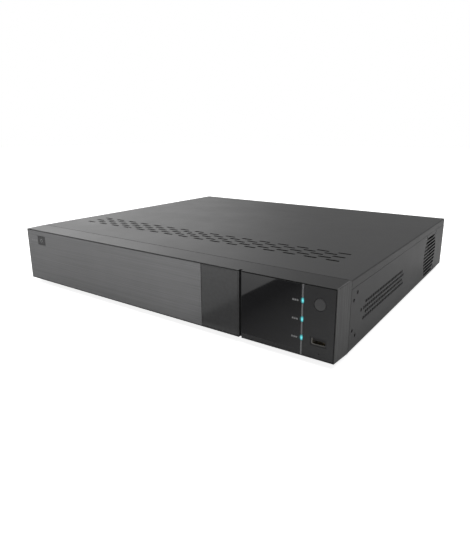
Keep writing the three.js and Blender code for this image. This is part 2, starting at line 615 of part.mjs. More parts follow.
// Power supply: an open channel with its board of parts.
const SUPPLY = { left: -214, right: -118, front: 236, back: 354 };
const supplyFrame = join([
  block([SUPPLY.left, SUPPLY.right], [SUPPLY.front, SUPPLY.back], [SHEET + CLEARANCE, 2.3]),
  block([SUPPLY.left, SUPPLY.left + SHEET], [SUPPLY.front, SUPPLY.back], [SHEET + CLEARANCE, 38]),
  block([SUPPLY.right - SHEET, SUPPLY.right], [SUPPLY.front, SUPPLY.back], [SHEET + CLEARANCE, 38]),
  ...[-204, -128].flatMap((x) => [246, 344].map((y) => rod("z", [2, 7.7], 2.5, [x, y], 8))),
]);
add("supply_frame", supplyFrame, BARE_STEEL);
const supplyBoard = join([
  block([SUPPLY.left + 3, SUPPLY.right - 3], [SUPPLY.front + 3, SUPPLY.back - 3], [8, 9.6]),
  block([-182, -150], [282, 312], [9, 36]),
  rod("z", [9, 38], 9, [-196, 300], 16),
  block([-206, -172], [258, 261], [9, 34]),
  block([-144, -141], [262, 330], [9, 34]),
  block([-203, -183], [322, 342], [9, 28]),
  ...[-132, -160, -172].map((x) => rod("z", [9, 29], 5, [x, 250], 12)),
  block([-176, -150], [340, 348], [9, 18]),
  block([-134, -124], [270, 300], [9, 20]),
]);
add("supply_board", supplyBoard, finish(0x8a6a2c, 0.6));

// Disk brackets: folded plates on two legs, the right one empty.
function driveBracket(wide) {
  const [y0, y1] = [DISK_Y - 4, DISK_Y + DISK.deep + 2];
  const legs = [[0, 1.2], [wide - 1.2, wide]];
  return join([
    block([0, wide], [y0, y1], [DISK_Z - 1.5, DISK_Z - 0.3]),
    ...legs.map((range) => block(range, [y0, y1], [SHEET + CLEARANCE, DISK_Z - 0.3])),
  ]).subtract(join([0.25, 0.75].map((share) =>
    rod("z", [DISK_Z - 3, DISK_Z + 1], 14, [share * wide, DISK_Y + DISK.deep / 2], 20))));
}
add("drive_bracket", driveBracket(222), BARE_STEEL, [-190, 0, 0]);
add("spare_drive_bracket", driveBracket(112), BARE_STEEL, [48, 0, 0]);

function hardDisk() {
  const { wide, deep, tall } = DISK;
  const lid = 1.2;
  return join([
    block([0, wide], [0, deep], [0, tall - lid]),
    block([3, wide - 3], [4, deep - 12], [tall - lid - 0.3, tall]),
  ]).subtract(join([
    block([8, 60], [deep - 3, deep + 1], [1, 7]),
    ...[28.5, 129].flatMap((y) => [
      rod("x", [-1, 3], 1.6, [y, 6.4], 6),
      rod("x", [wide - 3, wide + 1], 1.6, [y, 6.4], 6),
    ]),
  ]));
}
DISK_LEFT_EDGES.forEach((x, k) =>
  add(`hard_disk_${k + 1}`, hardDisk(), finish(0x9a9da1, 0.4, 0.9), [x, DISK_Y, DISK_Z]));

// Internal leads, whole from plug to plug.
const DISK_BACK = DISK_Y + DISK.deep;
const plugZ = DISK_Z + 4;
const boardPlug = (x) => block([x - 5.5, x + 5.5], [232, 240], [17, 22]);
const diskPlug = (x, half) => block([x - half, x + half], [DISK_BACK - 2.5, DISK_BACK + 8],
  [plugZ - 2.3, plugZ + 2.3]);
const dataSockets = DISK_LEFT_EDGES.map((x) => x + 50);
[-62, -36].forEach((boardX, k) => {
  const diskX = dataSockets[k];
  add(`disk_data_lead_${k + 1}`, join([
    lead([
      [boardX, 236, 21], [boardX, 236, 27 + 5 * k], [boardX - 8, 226, 30 + 5 * k],
      [(boardX + diskX) / 2, 219, 24 + 5 * k], [diskX, 215, plugZ + 4], [diskX, DISK_BACK + 6, plugZ],
    ], 1.7),
    boardPlug(boardX), diskPlug(diskX, 5),
  ]), finish(0x9a1f1f, 0.5));
});
const powerSockets = DISK_LEFT_EDGES.map((x) => x + 20);
add("disk_power_lead", join([
  lead([
    [-129, 276, 24], [-129, 262, 45], [-132, 240, 48], [-150, 226, 42], [powerSockets[0], 214, plugZ + 5],
    [powerSockets[0], DISK_BACK + 6, plugZ],
  ], 1.9),
  lead([
    [powerSockets[0], DISK_BACK + 6, plugZ], [powerSockets[0] + 12, 212, plugZ - 3],
    [-90, 213, 7], [powerSockets[1] - 12, 212, plugZ - 3], [powerSockets[1], DISK_BACK + 6, plugZ],
  ], 1.9),
  block([-133, -125], [271, 281], [20.4, 27]),
  diskPlug(powerSockets[0], 9), diskPlug(powerSockets[1], 9),
]), finish(0x202022, 0.5));
add("board_power_lead", join([
  lead([
    [-129, 292, 25], [-129, 292, 42], [-122, 294, 48], [-106, 298, 40], [-96, 300, 30], [-96, 300, 22],
  ], 2.2),
  block([-133, -125], [286, 297], [20.4, 27]),
  block([-100, -92], [290, 310], [18, 24]),
]), finish(0xc9a227, 0.5));
add("fan_lead", join([
  lead([
    [200, 296, 40], [196, 295, 34], [190, 293, 28], [188, 292, 22], [188, 292, 17],
  ], 1.3, 12),
  block([185, 191], [289, 295], [15.2, 20]),
]), finish(0xb02020, 0.5));

// Flat ribbon from the indicator board along the floor to the main board.
const ribbon = join([
  prism("x", [138, 152], outline([
    [19.6, 12.4], [24, 12.4], [34, 7.5], [40, 3.6], [221, 3.6], [228, 8], [229.2, 17], [233, 19.4],
    [240, 19.4], [240, 20.2], [232.6, 20.2], [228.2, 17.4], [227, 8.6], [220.6, 4.4], [40.4, 4.4], [34.4, 8.3],
    [24.4, 13.6], [19.6, 13.6],
  ])),
  block([136.5, 153.5], [235, 241], [14.9, 19.6]),
]);
add("front_ribbon", ribbon, finish(0xa9a9a9, 0.6));

// ---- Fan ----------------------------------------------------------------------------------------------
// x is measured from the frame's inner face, y and z from the axle.
function fanFrame() {
  const half = FAN.size / 2;
  const strut = (turn) => solid(new THREE.BoxGeometry(2, 4, half * 2 - 2)
    .translate(1, 0, 0).applyMatrix4(new THREE.Matrix4().makeRotationX(turn)));
  const ring = block([0, FAN.thick], [-half, half], [-half, half]).subtract(join([
    rod("x", [-1, FAN.thick + 1], half - 1.4, [0, 0], 28),
    ...FAN_HOLES.map(([y, z]) => rod("x", [-1, FAN.thick + 1], 2, [y - FAN.y, z - FAN.z], 10)),
  ]));
  return join([
    ring, strut(Math.PI / 4), strut(-Math.PI / 4),
    rod("x", [0, 2], 12, [0, 0], 24), rod("x", [1, 9], 1.5, [0, 0], 12),
  ]);
}
add("fan_frame", fanFrame(), BLACK_PLASTIC, [FAN.inner, FAN.y, FAN.z]);

function fanRotor() {
  const hub = rod("x", [2.8, 13.6], 11.5, [0, 0], 20).subtract(join([
    rod("x", [1, 10.5], 1.9, [0, 0], 10),
    rod("x", [1, 6], 10, [0, 0], 16),
  ]));
  const blades = Array.from({ length: 7 }, (_, k) => {
    const blade = new THREE.BoxGeometry(1.1, 13, 18);
    blade.applyMatrix4(new THREE.Matrix4().makeRotationZ(THREE.MathUtils.degToRad(52)));
    blade.translate(8.2, 0, 18.6);
    return solid(blade.applyMatrix4(new THREE.Matrix4().makeRotationX((2 * Math.PI * k) / 7)));
  });
  return join([hub, ...blades]);
}
add("fan_rotor", fanRotor(), BLACK_PLASTIC, [FAN.inner, FAN.y, FAN.z]);

FAN_HOLES.forEach(([y, z], k) => {
  const screw = join([
    rod("x", [-1.1, -0.1], 2.8, [0, 0], 12),
    rod("x", [-9, -1], 1.6, [0, 0], 10),
  ]).subtract(block([-0.7, 1], [-1.8, 1.8], [-0.4, 0.4]));
  add(`fan_screw_${k + 1}`, screw, BARE_STEEL, [SIDE, y, z]);
});

// ---- Feet ---------------------------------------------------------------------------------------------
const FOOT = { radius: 9, insetX: 46, insetFront: 58, insetBack: 40 };
const foot = solid(new THREE.LatheGeometry([
  [0, -FOOT_HEIGHT], [FOOT.radius - 1.2, -FOOT_HEIGHT], [FOOT.radius - 0.4, -FOOT_HEIGHT + 0.8],
  [FOOT.radius, -CLEARANCE], [0, -CLEARANCE],
].map(([r, z]) => new THREE.Vector2(r, z)), 18).rotateX(Math.PI / 2));
[[-1, FOOT.insetFront], [1, FOOT.insetFront], [-1, DEPTH - FOOT.insetBack], [1, DEPTH - FOOT.insetBack]]
  .forEach(([side, y], k) => {
    add(`foot_${k + 1}`, foot, finish(0x121212, 0.9), [side * (SIDE - FOOT.insetX), y, 0]);
  });

export default recorder;
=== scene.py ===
"""Looks of the rack-width video recorder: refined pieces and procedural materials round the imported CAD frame.

Sizes are in millimetres in case coordinates, as in the CAD: x to the right, y back from the front face,
z up from the underside of the case. Maker turns them into metres in the shared frame.
"""
import math

import bmesh
import bpy
from mathutils import Matrix, Vector


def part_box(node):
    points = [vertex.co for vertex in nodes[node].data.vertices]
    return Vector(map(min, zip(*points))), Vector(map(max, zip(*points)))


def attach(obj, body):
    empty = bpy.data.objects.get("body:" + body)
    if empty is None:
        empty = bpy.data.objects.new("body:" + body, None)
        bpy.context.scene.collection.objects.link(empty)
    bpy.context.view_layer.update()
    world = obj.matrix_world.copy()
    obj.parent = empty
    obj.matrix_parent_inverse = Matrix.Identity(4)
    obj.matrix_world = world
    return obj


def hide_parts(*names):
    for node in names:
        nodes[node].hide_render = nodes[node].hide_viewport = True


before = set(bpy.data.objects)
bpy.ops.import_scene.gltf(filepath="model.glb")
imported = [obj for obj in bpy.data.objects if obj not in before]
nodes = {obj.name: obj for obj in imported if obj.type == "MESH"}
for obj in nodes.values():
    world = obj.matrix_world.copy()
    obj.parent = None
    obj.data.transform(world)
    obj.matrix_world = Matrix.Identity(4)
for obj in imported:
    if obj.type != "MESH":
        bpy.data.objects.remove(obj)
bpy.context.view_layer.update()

MM = 0.001
FRONT_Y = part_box("front_bezel")[0].y
BASE_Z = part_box("base_tray")[0].z
TO_FRAME = Matrix.Translation((0, FRONT_Y, BASE_Z)) @ Matrix.Scale(MM, 4)
FROM_FRAME = TO_FRAME.inverted()


def case_box(node):
    """Lowest and highest corner of a CAD node in case millimetres."""
    low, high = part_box(node)
    return FROM_FRAME @ low, FROM_FRAME @ high


bezel_high = case_box("front_bezel")[1]
SIDE = bezel_high.x
HEIGHT = bezel_high.z
DEPTH = case_box("top_cover")[1].y
SHEET = 1.0
EDGE = 0.12  # softened edge of cut sheet
CREASE = math.radians(35)  # faces that meet at more than this keep a sharp edge


# ---- Camera ------------------------------------------------------------------------------------------
def make_camera():
    """The photograph's view: in front and to the right, looking slightly down."""
    azimuth, elevation = math.radians(34.58), math.radians(15.15)
    place = Vector((0.353, FRONT_Y - 0.333, BASE_Z + 0.188))
    back = Vector((
        math.sin(azimuth) * math.cos(elevation),
        -math.cos(azimuth) * math.cos(elevation),
        math.sin(elevation),
    ))
    data = bpy.data.cameras.new("camera")
    data.lens = 29.9
    data.sensor_width = 36
    data.shift_x = -0.0097
    data.shift_y = -0.0349
    data.clip_start = 0.01
    camera = bpy.data.objects.new("camera", data)
    bpy.context.scene.collection.objects.link(camera)
    camera.location = place
    camera.rotation_mode = "QUATERNION"
    camera.rotation_quaternion = (-back).to_track_quat("-Z", "Y")
    bpy.context.scene.camera = camera


make_camera()


# ---- Materials ---------------------------------------------------------------------------------------
class Shader:
    """The nodes of a material or of the world, new or added to: short names for making and linking them."""

    def __init__(self, owner):
        self.owner = owner
        self.tree = owner.node_tree
        self.bsdf = self.tree.nodes.get("Principled BSDF")
        self.place = self.node("ShaderNodeTexCoord").outputs["Object"]

    @classmethod
    def new(cls, name):
        material = bpy.data.materials.new(name)
        material.use_nodes = True
        return cls(material)

    def node(self, kind, **settings):
        made = self.tree.nodes.new(kind)
        for key, value in settings.items():
            setattr(made, key, value)
        return made

    def link(self, source, target):
        self.tree.links.new(source, target)

    def feed(self, socket, value):
        """Gives a socket a number, a colour, or what another socket puts out."""
        if isinstance(value, (int, float)):
            socket.default_value = value
        elif isinstance(value, tuple):
            socket.default_value = (*value, 1)
        else:
            self.link(value, socket)

    def along(self, axis):
        """The object coordinate along one axis."""
        parts = self.node("ShaderNodeSeparateXYZ")
        self.link(self.place, parts.inputs[0])
        return parts.outputs[axis]

    def scaled(self, scale):
        """Object coordinates multiplied by (x, y, z), or by one number."""
        mapping = self.node("ShaderNodeMapping")
        mapping.inputs["Scale"].default_value = scale if isinstance(scale, tuple) else (scale, scale, scale)
        self.link(self.place, mapping.inputs["Vector"])
        return mapping.outputs["Vector"]

    def noise(self, scale, detail=2.0, roughness=0.5):
        made = self.node("ShaderNodeTexNoise")
        made.inputs["Scale"].default_value = 1.0
        made.inputs["Detail"].default_value = detail
        made.inputs["Roughness"].default_value = roughness
        self.link(self.scaled(scale), made.inputs["Vector"])
        return made.outputs["Fac"]

    def span(self, value, low, high, from_low=0.25, from_high=0.75):
        """Maps a value from one range to another, clamped."""
        made = self.node("ShaderNodeMapRange")
        for key, number in (("From Min", from_low), ("From Max", from_high), ("To Min", low),
                            ("To Max", high)):
            made.inputs[key].default_value = number
        self.link(value, made.inputs["Value"])
        return made.outputs["Result"]

    def math(self, operation, a, b):
        made = self.node("ShaderNodeMath", operation=operation)
        self.feed(made.inputs[0], a)
        self.feed(made.inputs[1], b)
        return made.outputs["Value"]

    def mix(self, factor, a, b):
        """Colour a where the factor is 0, b where it is 1; each may be a colour or another node's output."""
        made = self.node("ShaderNodeMix", data_type="RGBA")
        self.feed(made.inputs["Factor"], factor)
        self.feed(made.inputs[6], a)
        self.feed(made.inputs[7], b)
        return made.outputs[2]

    def bump(self, height, strength, distance):
        made = self.node("ShaderNodeBump")
        made.inputs["Strength"].default_value = strength
        made.inputs["Distance"].default_value = distance
        self.link(height, made.inputs["Height"])
        self.link(made.outputs["Normal"], self.bsdf.inputs["Normal"])

    def set(self, **values):
        for key, value in values.items():
            self.bsdf.inputs[key.replace("_", " ")].default_value = value


def tint(colour, factor):
    return tuple(min(1.0, c * factor) for c in colour)


def surface(name, colour, roughness, metallic=0.0, grain=2600, bump=0.05, depth=0.00004,
            mottle=0.08, spread=0.06, coat=0.0):
    """A finish with fine grain in bump and roughness, and slow changes of tone over some centimetres."""
    s = Shader.new(name)
    fine = s.noise(grain, detail=3)
    slow = s.noise(14, detail=3, roughness=0.6)
    tone = s.mix(s.span(slow, 0, 1), tint(colour, 1 - mottle), tint(colour, 1 + mottle))
    speck = s.mix(s.span(fine, 0, 1), tint(colour, 1 - 2 * mottle), tint(colour, 1 + 2 * mottle))
    s.link(s.mix(0.5, tone, speck), s.bsdf.inputs["Base Color"])
    both = s.math("ADD", s.math("MULTIPLY", fine, 0.5), s.math("MULTIPLY", slow, 0.5))
    s.link(s.span(both, roughness - spread, roughness + spread), s.bsdf.inputs["Roughness"])
    s.bump(fine, bump, depth)
    s.set(Metallic=metallic, Coat_Weight=coat, Coat_Roughness=0.06)
    return s.owner


def circuit_board(name, mask, copper):
    """Solder mask over copper runs, with tinned vias."""
    s = Shader.new(name)
    runs = s.node("ShaderNodeTexBrick", offset=0.37, squash=1.6, squash_frequency=3)
    runs.inputs["Scale"].default_value = 1.0
    runs.inputs["Mortar Size"].default_value = 0.03
    runs.inputs["Brick Width"].default_value = 2.6
    runs.inputs["Row Height"].default_value = 0.45
    s.link(s.scaled(260), runs.inputs["Vector"])
    vias = s.node("ShaderNodeTexVoronoi", feature="F1")
    vias.inputs["Scale"].default_value = 1.0
    s.link(s.scaled(240), vias.inputs["Vector"])
    slow = s.noise(40)
    ground = s.mix(s.span(slow, 0, 1), tint(mask, 0.8), tint(mask, 1.25))
    traced = s.mix(runs.outputs["Fac"], ground, tint(mask, 2.1))
    dots = s.span(vias.outputs["Distance"], 1, 0, 0.1, 0.14)
    s.link(s.mix(dots, traced, copper), s.bsdf.inputs["Base Color"])
    s.link(s.span(slow, 0.28, 0.42), s.bsdf.inputs["Roughness"])
    s.bump(runs.outputs["Fac"], 0.3, 0.00003)
    return s.owner


LAMP_NODES = ("status_lens_1", "status_lens_2", "status_lens_3")
CYAN = (0.16, 0.8, 0.86)


def lit_lens(node, colour, strength):
    """A lamp's lens: pale and brightest at its middle height, deeper and dimmer towards its ends."""
    s = Shader.new(f"lit_{node}")
    low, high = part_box(node)
    away = s.math("ABSOLUTE", s.math("SUBTRACT", s.along("Z"), (low.z + high.z) / 2), 0)
    heart = s.span(away, 1, 0, 0.0002, (high.z - low.z) / 2)
    grain = s.span(s.noise((1500, 1500, 700)), 0.9, 1.1)
    s.link(s.mix(heart, tint(colour, 0.75), tint(colour, 1.2)), s.bsdf.inputs["Emission Color"])
    level = s.span(heart, strength * 0.5, strength * 1.25, 0, 1)
    s.link(s.math("MULTIPLY", level, grain), s.bsdf.inputs["Emission Strength"])
    s.link(s.mix(heart, tint(colour, 0.3), tint(colour, 0.7)), s.bsdf.inputs["Base Color"])
    s.set(Roughness=0.25)
    return s.owner


def add_painted_lamp_glow(material, reach, strength):
    """Painted glow: the light of the status lamps painted into the panel beside them as emission; it fades over
    `reach` metres.
    """
    s = Shader(material)
    total = 0.0
    for name in LAMP_NODES:
        low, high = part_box(name)
        away = s.node("ShaderNodeVectorMath", operation="DISTANCE")
        away.inputs[1].default_value = (low + high) / 2
        s.link(s.place, away.inputs[0])
        fade = s.span(away.outputs["Value"], strength, 0, 0.0012, reach)
        fade.node.interpolation_type = "SMOOTHSTEP"
        total = s.math("ADD", fade, total)
    s.set(Emission_Color=(*CYAN, 1))
    s.link(total, s.bsdf.inputs["Emission Strength"])
    return material


def add_brushed_ends_and_painted_light(material, start, dark, pale):
    """Upright brushing on a moulding's end faces, beyond `start` metres from the middle. Their tone is far
    lighter than the front's: partly the brushed finish, partly painted light on the end faces.
    """
    s = Shader(material)
    plain = s.bsdf.inputs["Base Color"].links[0].from_socket
    beyond = s.math("GREATER_THAN", s.math("ABSOLUTE", s.along("X"), 0), start)
    tone = s.span(s.noise((1, 700, 14)), dark, pale, 0.3, 0.7)
    s.link(s.mix(beyond, plain, tone), s.bsdf.inputs["Base Color"])
    return material


COAT = surface("coated_steel", (0.024, 0.024, 0.0243), 0.37, grain=1700, bump=0.10, depth=0.00006)
# The bezel's end faces are painted lighter than its front: painted light, together with the upright brushing.
BEZEL = add_brushed_ends_and_painted_light(surface("bezel_moulding", (0.01, 0.01, 0.0103), 0.33, grain=(1100, 1400, 60),
                                 bump=0.08,
                                 mottle=0.2), (SIDE - 2.4) * MM, 0.025, 0.08)
BRUSHED = surface("brushed_front", (0.215, 0.215, 0.218), 0.4, metallic=0.5, grain=(9, 900, 1100), bump=0.12,
                  depth=0.00005, mottle=0.13, spread=0.08)
# The strip's lacquer is a lighter grey than black lacquer: its own dark colour, lightened by a painted
# reflection.
GLOSS = surface("gloss_strip_lacquer", (0.062, 0.062, 0.063), 0.17, grain=300, bump=0.01, spread=0.03)
# The window and the control panel carry a painted glow of the status lamps near them, as emission.
WINDOW = add_painted_lamp_glow(surface("window_acrylic", (0.006, 0.006, 0.007), 0.05, grain=50, bump=0.008,
                                spread=0.012, coat=0.5), 0.0030, 0.09)
CONTROL = add_painted_lamp_glow(surface("control_lacquer", (0.03, 0.03, 0.031), 0.26, grain=2200,
                                 bump=0.02), 0.0026, 0.06)
GUIDE = surface("smoked_guide", (0.2, 0.2, 0.205), 0.2, grain=(800, 800, 80), bump=0.03)
LAMP_STRENGTH = 0.5
BUTTON = surface("button_satin", (0.072, 0.072, 0.073), 0.4, grain=2400, bump=0.04)
BLACK = surface("black_moulding", (0.018, 0.018, 0.019), 0.45, grain=2300, bump=0.08)
MARK = surface("printed_mark", (0.27, 0.27, 0.275), 0.5, grain=3000, bump=0.02)
BADGE = surface("badge_face", (0.03, 0.03, 0.031), 0.3, grain=900, bump=0.02)
ZINC = surface("zinc_plate", (0.5, 0.51, 0.52), 0.34, metallic=1.0, grain=(300, 900, 900), bump=0.05,
               mottle=0.1)
NICKEL = surface("nickel_plate", (0.62, 0.6, 0.57), 0.22, metallic=1.0, grain=700, bump=0.02)
GOLD = surface("gold_plate", (0.83, 0.62, 0.28), 0.25, metallic=1.0, grain=900, bump=0.02)
GALVANISED = surface("galvanised_sheet", (0.26, 0.265, 0.27), 0.46, metallic=0.9, grain=260, bump=0.05,
                     mottle=0.14)
CAST = surface("cast_aluminium", (0.5, 0.51, 0.52), 0.42, metallic=1.0, grain=800, bump=0.12,
               depth=0.0001)
MACHINED = surface("machined_lid", (0.6, 0.61, 0.62), 0.28, metallic=1.0, grain=(20, 1400, 900), bump=0.05)
FOIL = surface("plain_label", (0.55, 0.56, 0.57), 0.5, grain=1200, bump=0.03, mottle=0.03)
RUBBER = surface("foot_rubber", (0.012, 0.012, 0.012), 0.8, grain=1500, bump=0.25)
WHITE = surface("white_insulator", (0.6, 0.6, 0.57), 0.5, grain=1500, bump=0.04)
BLUE = surface("blue_insulator", (0.015, 0.06, 0.32), 0.4, grain=1500, bump=0.04)
GREEN = surface("green_terminal", (0.02, 0.27, 0.1), 0.45, grain=1800, bump=0.05)
CHIP = surface("chip_resin", (0.014, 0.014, 0.015), 0.5, grain=2600, bump=0.12)
YELLOW = surface("winding_tape", (0.55, 0.36, 0.03), 0.35, grain=(400, 400, 1800), bump=0.06)
BROWN = surface("paper_board", (0.16, 0.08, 0.025), 0.5, grain=900, bump=0.04)
ORANGE = surface("orange_sleeve", (0.62, 0.4, 0.03), 0.4, grain=500, bump=0.03)
RED = surface("red_sleeve", (0.38, 0.02, 0.018), 0.42, grain=900, bump=0.04)
SLEEVE = surface("black_sleeve", (0.02, 0.02, 0.022), 0.42, grain=900, bump=0.04)
RIBBON = surface("ribbon_sheath", (0.33, 0.33, 0.33), 0.5, grain=(900, 12, 900), bump=0.3, depth=0.0003)
BOARD = circuit_board("green_board", (0.008, 0.06, 0.026), (0.55, 0.42, 0.2))


# ---- Mesh making -------------------------------------------------------------------------------------
# A local outline (u, v) and length w on each axis, as in the CAD:
# x takes (y, z), y takes (z, x), z takes (x, y).
AXES = {
    "x": Matrix(((0, 0, 1, 0), (1, 0, 0, 0), (0, 1, 0, 0), (0, 0, 0, 1))),
    "y": Matrix(((0, 1, 0, 0), (0, 0, 1, 0), (1, 0, 0, 0), (0, 0, 0, 1))),
    "z": Matrix.Identity(4),
}


def about(middle, half):
    """The span from one side of a middle to the other."""
    return middle - half, middle + half


def circle(radius, centre, sides=24):
    return [
        (centre[0] + radius * math.cos(2 * math.pi * k / sides),
         centre[1] + radius * math.sin(2 * math.pi * k / sides))
        for k in range(sides)
    ]


def obround(length, width, centre, upright=False, steps=7):
    """A slot with round ends, long along u, or along v when upright."""
    reach, radius = (length - width) / 2, width / 2
    points = []
    for sign, start in ((1, -math.pi / 2), (-1, math.pi / 2)):
        for k in range(steps + 1):
            turn = start + math.pi * k / steps
            points.append((sign * reach + radius * math.cos(turn), radius * math.sin(turn)))
    if upright:
        points = [(-v, u) for u, v in points]
    return [(centre[0] + u, centre[1] + v) for u, v in points]


def rectangle(u, v, corner=0.0, steps=5):
    """A rectangle between two u and two v values, its corners rounded."""
    if corner <= 0:
        return [(u[0], v[0]), (u[1], v[0]), (u[1], v[1]), (u[0], v[1])]
    points = []
    for cu, cv, start in ((u[1] - corner, v[0] + corner, -0.5), (u[1] - corner, v[1] - corner, 0),
                          (u[0] + corner, v[1] - corner, 0.5), (u[0] + corner, v[0] + corner, 1)):
        for k in range(steps + 1):
            turn = math.pi * (start + 0.5 * k / steps)
            points.append((cu + corner * math.cos(turn), cv + corner * math.sin(turn)))
    return points


def arc(centre, radius, start, stop, steps=6):
    """Points round a centre, the angles in degrees."""
    return [
        (centre[0] + radius * math.cos(math.radians(start + (stop - start) * k / steps)),
         centre[1] + radius * math.sin(math.radians(start + (stop - start) * k / steps)))
        for k in range(steps + 1)
    ]


class Maker:
    """Collects solids in case millimetres, each with its own material, into one named piece."""

    def __init__(self, name):
        self.name = name
        self.bm = bmesh.new()
        self.materials = []

    def index(self, material):
        if material not in self.materials:
            self.materials.append(material)
        return self.materials.index(material)

    def take(self, part, matrix, material):
        """Moves a finished bmesh into the piece."""
        part.transform(matrix)
        if matrix.determinant() < 0:
            bmesh.ops.reverse_faces(part, faces=part.faces)
        slot = self.index(material)
        for face in part.faces:
            face.material_index = slot
        mesh = bpy.data.meshes.new("part")
        part.to_mesh(mesh)
        part.free()
        self.bm.from_mesh(mesh)
        bpy.data.meshes.remove(mesh)

    def block(self, x, y, z, material, edge=0.2, segments=2, turn=None):
        part = bmesh.new()
        bmesh.ops.create_cube(part, size=1)
        size = Vector((x[1] - x[0], y[1] - y[0], z[1] - z[0]))
        part.transform(Matrix.Diagonal((*size, 1)))
        if edge:
            offset = min(edge, 0.45 * min(size))
            bmesh.ops.bevel(part, geom=part.edges[:], offset=offset, segments=segments, affect="EDGES",
                            profile=0.5)
        middle = Vector(((x[0] + x[1]) / 2, (y[0] + y[1]) / 2, (z[0] + z[1]) / 2))
        place = Matrix.Translation(middle)
        self.take(part, place @ turn if turn else place, material)

    def prism(self, axis, span, outline, material, edge=0.0, segments=1):
        """An outline extruded along an axis, with softened rims."""
        part = bmesh.new()
        base = part.faces.new([part.verts.new((u, v, span[0])) for u, v in outline])
        lifted = bmesh.ops.extrude_face_region(part, geom=[base])["geom"]
        bmesh.ops.translate(part, vec=(0, 0, span[1] - span[0]),
                            verts=[v for v in lifted if isinstance(v, bmesh.types.BMVert)])
        bmesh.ops.recalc_face_normals(part, faces=part.faces)
        if edge:
            rims = [e for e in part.edges if abs(e.verts[0].co.z - e.verts[1].co.z) < 1e-6]
            bmesh.ops.bevel(part, geom=rims, offset=edge, segments=segments, affect="EDGES", profile=0.5)
        self.take(part, AXES[axis], material)

    def lathe(self, axis, centre, profile, material, sides=40):
        """A profile of (radius, length along the axis) turned round the axis through centre."""
        part = bmesh.new()
        rings = []
        for radius, w in profile:
            count = 1 if radius < 1e-6 else sides
            rings.append([
                part.verts.new((radius * math.cos(2 * math.pi * k / sides),
                                radius * math.sin(2 * math.pi * k / sides), w))
                for k in range(count)
            ])
        for lower, upper in zip(rings, rings[1:]):
            for k in range(sides):
                corners = [lower[k % len(lower)], lower[(k + 1) % len(lower)],
                           upper[(k + 1) % len(upper)], upper[k % len(upper)]]
                unique = list(dict.fromkeys(corners))
                if len(unique) > 2:
                    part.faces.new(unique)
        bmesh.ops.recalc_face_normals(part, faces=part.faces)
        self.take(part, AXES[axis] @ Matrix.Translation((*centre, 0)), material)

    def plate(self, axis, span, outline, holes, material, edge=EDGE):
        """A sheet with holes, every edge of it softened."""
        curve = bpy.data.curves.new("plate", "CURVE")
        curve.dimensions = "2D"
        curve.fill_mode = "BOTH"
        curve.extrude = (span[1] - span[0]) / 2 - edge
        curve.bevel_depth = edge
        curve.bevel_resolution = 1
        curve.offset = -edge
        for loop in [outline, *[hole[::-1] for hole in holes]]:
            spline = curve.splines.new("POLY")
            spline.points.add(len(loop) - 1)
            for point, (u, v) in zip(spline.points, loop):
                point.co = (u, v, 0, 1)
            spline.use_cyclic_u = True
        self.take_curve(curve, AXES[axis] @ Matrix.Translation((0, 0, (span[0] + span[1]) / 2)), material)

    def tube(self, points, radius, material, resolution=3):
        """A round lead along a smooth curve through the points."""
        curve = bpy.data.curves.new("tube", "CURVE")
        curve.dimensions = "3D"
        curve.bevel_depth = radius
        curve.bevel_resolution = resolution
        curve.use_fill_caps = True
        spline = curve.splines.new("BEZIER")
        spline.resolution_u = 8
        spline.bezier_points.add(len(points) - 1)
        for knot, point in zip(spline.bezier_points, points):
            knot.co = point
            knot.handle_left_type = knot.handle_right_type = "AUTO"
        self.take_curve(curve, Matrix.Identity(4), material)

    def take_curve(self, curve, matrix, material):
        holder = bpy.data.objects.new("holder", curve)
        bpy.context.scene.collection.objects.link(holder)
        graph = bpy.context.evaluated_depsgraph_get()
        mesh = bpy.data.meshes.new_from_object(holder.evaluated_get(graph))
        part = bmesh.new()
        part.from_mesh(mesh)
        bmesh.ops.remove_doubles(part, verts=part.verts, dist=1e-4)
        bmesh.ops.recalc_face_normals(part, faces=part.faces)
        bpy.data.objects.remove(holder)
        bpy.data.curves.remove(curve)
        bpy.data.meshes.remove(mesh)
        self.take(part, matrix, material)

    def done(self, body, replaced=()):
        """Makes the piece, lets it ride on its body and hides the CAD parts it replaces."""
        mesh = bpy.data.meshes.new(self.name)
        self.bm.to_mesh(mesh)
        self.bm.free()
        mesh.transform(TO_FRAME)
        for material in self.materials:
            mesh.materials.append(material)
        mesh.polygons.foreach_set("use_smooth", [True] * len(mesh.polygons))
        mesh.set_sharp_from_angle(angle=CREASE)
        piece = bpy.data.objects.new(self.name, mesh)
        bpy.context.scene.collection.objects.link(piece)
        flat = piece.modifiers.new("flat_faces", "WEIGHTED_NORMAL")
        flat.weight = 100
        flat.keep_sharp = True
        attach(piece, body)
        if replaced:
            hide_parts(*replaced)
        return piece


def carry(node, material, edge=0.2, segments=2):
    """Keeps a CAD node's shape: a better material, and softened edges from modifiers."""
    obj = nodes[node]
    obj.data.materials.clear()
    obj.data.materials.append(material)
    weld = obj.modifiers.new("weld", "WELD")
    weld.merge_threshold = 2e-6
    bevel = obj.modifiers.new("edges", "BEVEL")
    bevel.width = edge * MM
    bevel.segments = segments
    bevel.limit_method = "ANGLE"
    bevel.angle_limit = math.radians(40)
    bevel.use_clamp_overlap = True
    bevel.harden_normals = False


def spans(low, high):
    """A box as its three spans, ready for a block."""
    return (low.x, high.x), (low.y, high.y), (low.z, high.z)


def face_centre(low, high):
    """The (z, x) middle of a box, where a part on the front or back is turned."""
    return (low.z + high.z) / 2, (low.x + high.x) / 2


def rise(base, profile):
    """A turned profile moved along its axis."""
    return [(radius, base + length) for radius, length in profile]


# ---- Cover -------------------------------------------------------------------------------------------
BEND = 1.2  # outer radius of a sheet fold
COVER_FRONT = case_box("top_cover")[0].y
LIP_LOW = HEIGHT - 8
FLANGE_LOW = HEIGHT - 9
COVER_SCREWS = [case_box(f"cover_screw_{k}") for k in (1, 2, 3)]
COVER_HOLES = [circle(1.9, face_centre(low, high)) for low, high in COVER_SCREWS]


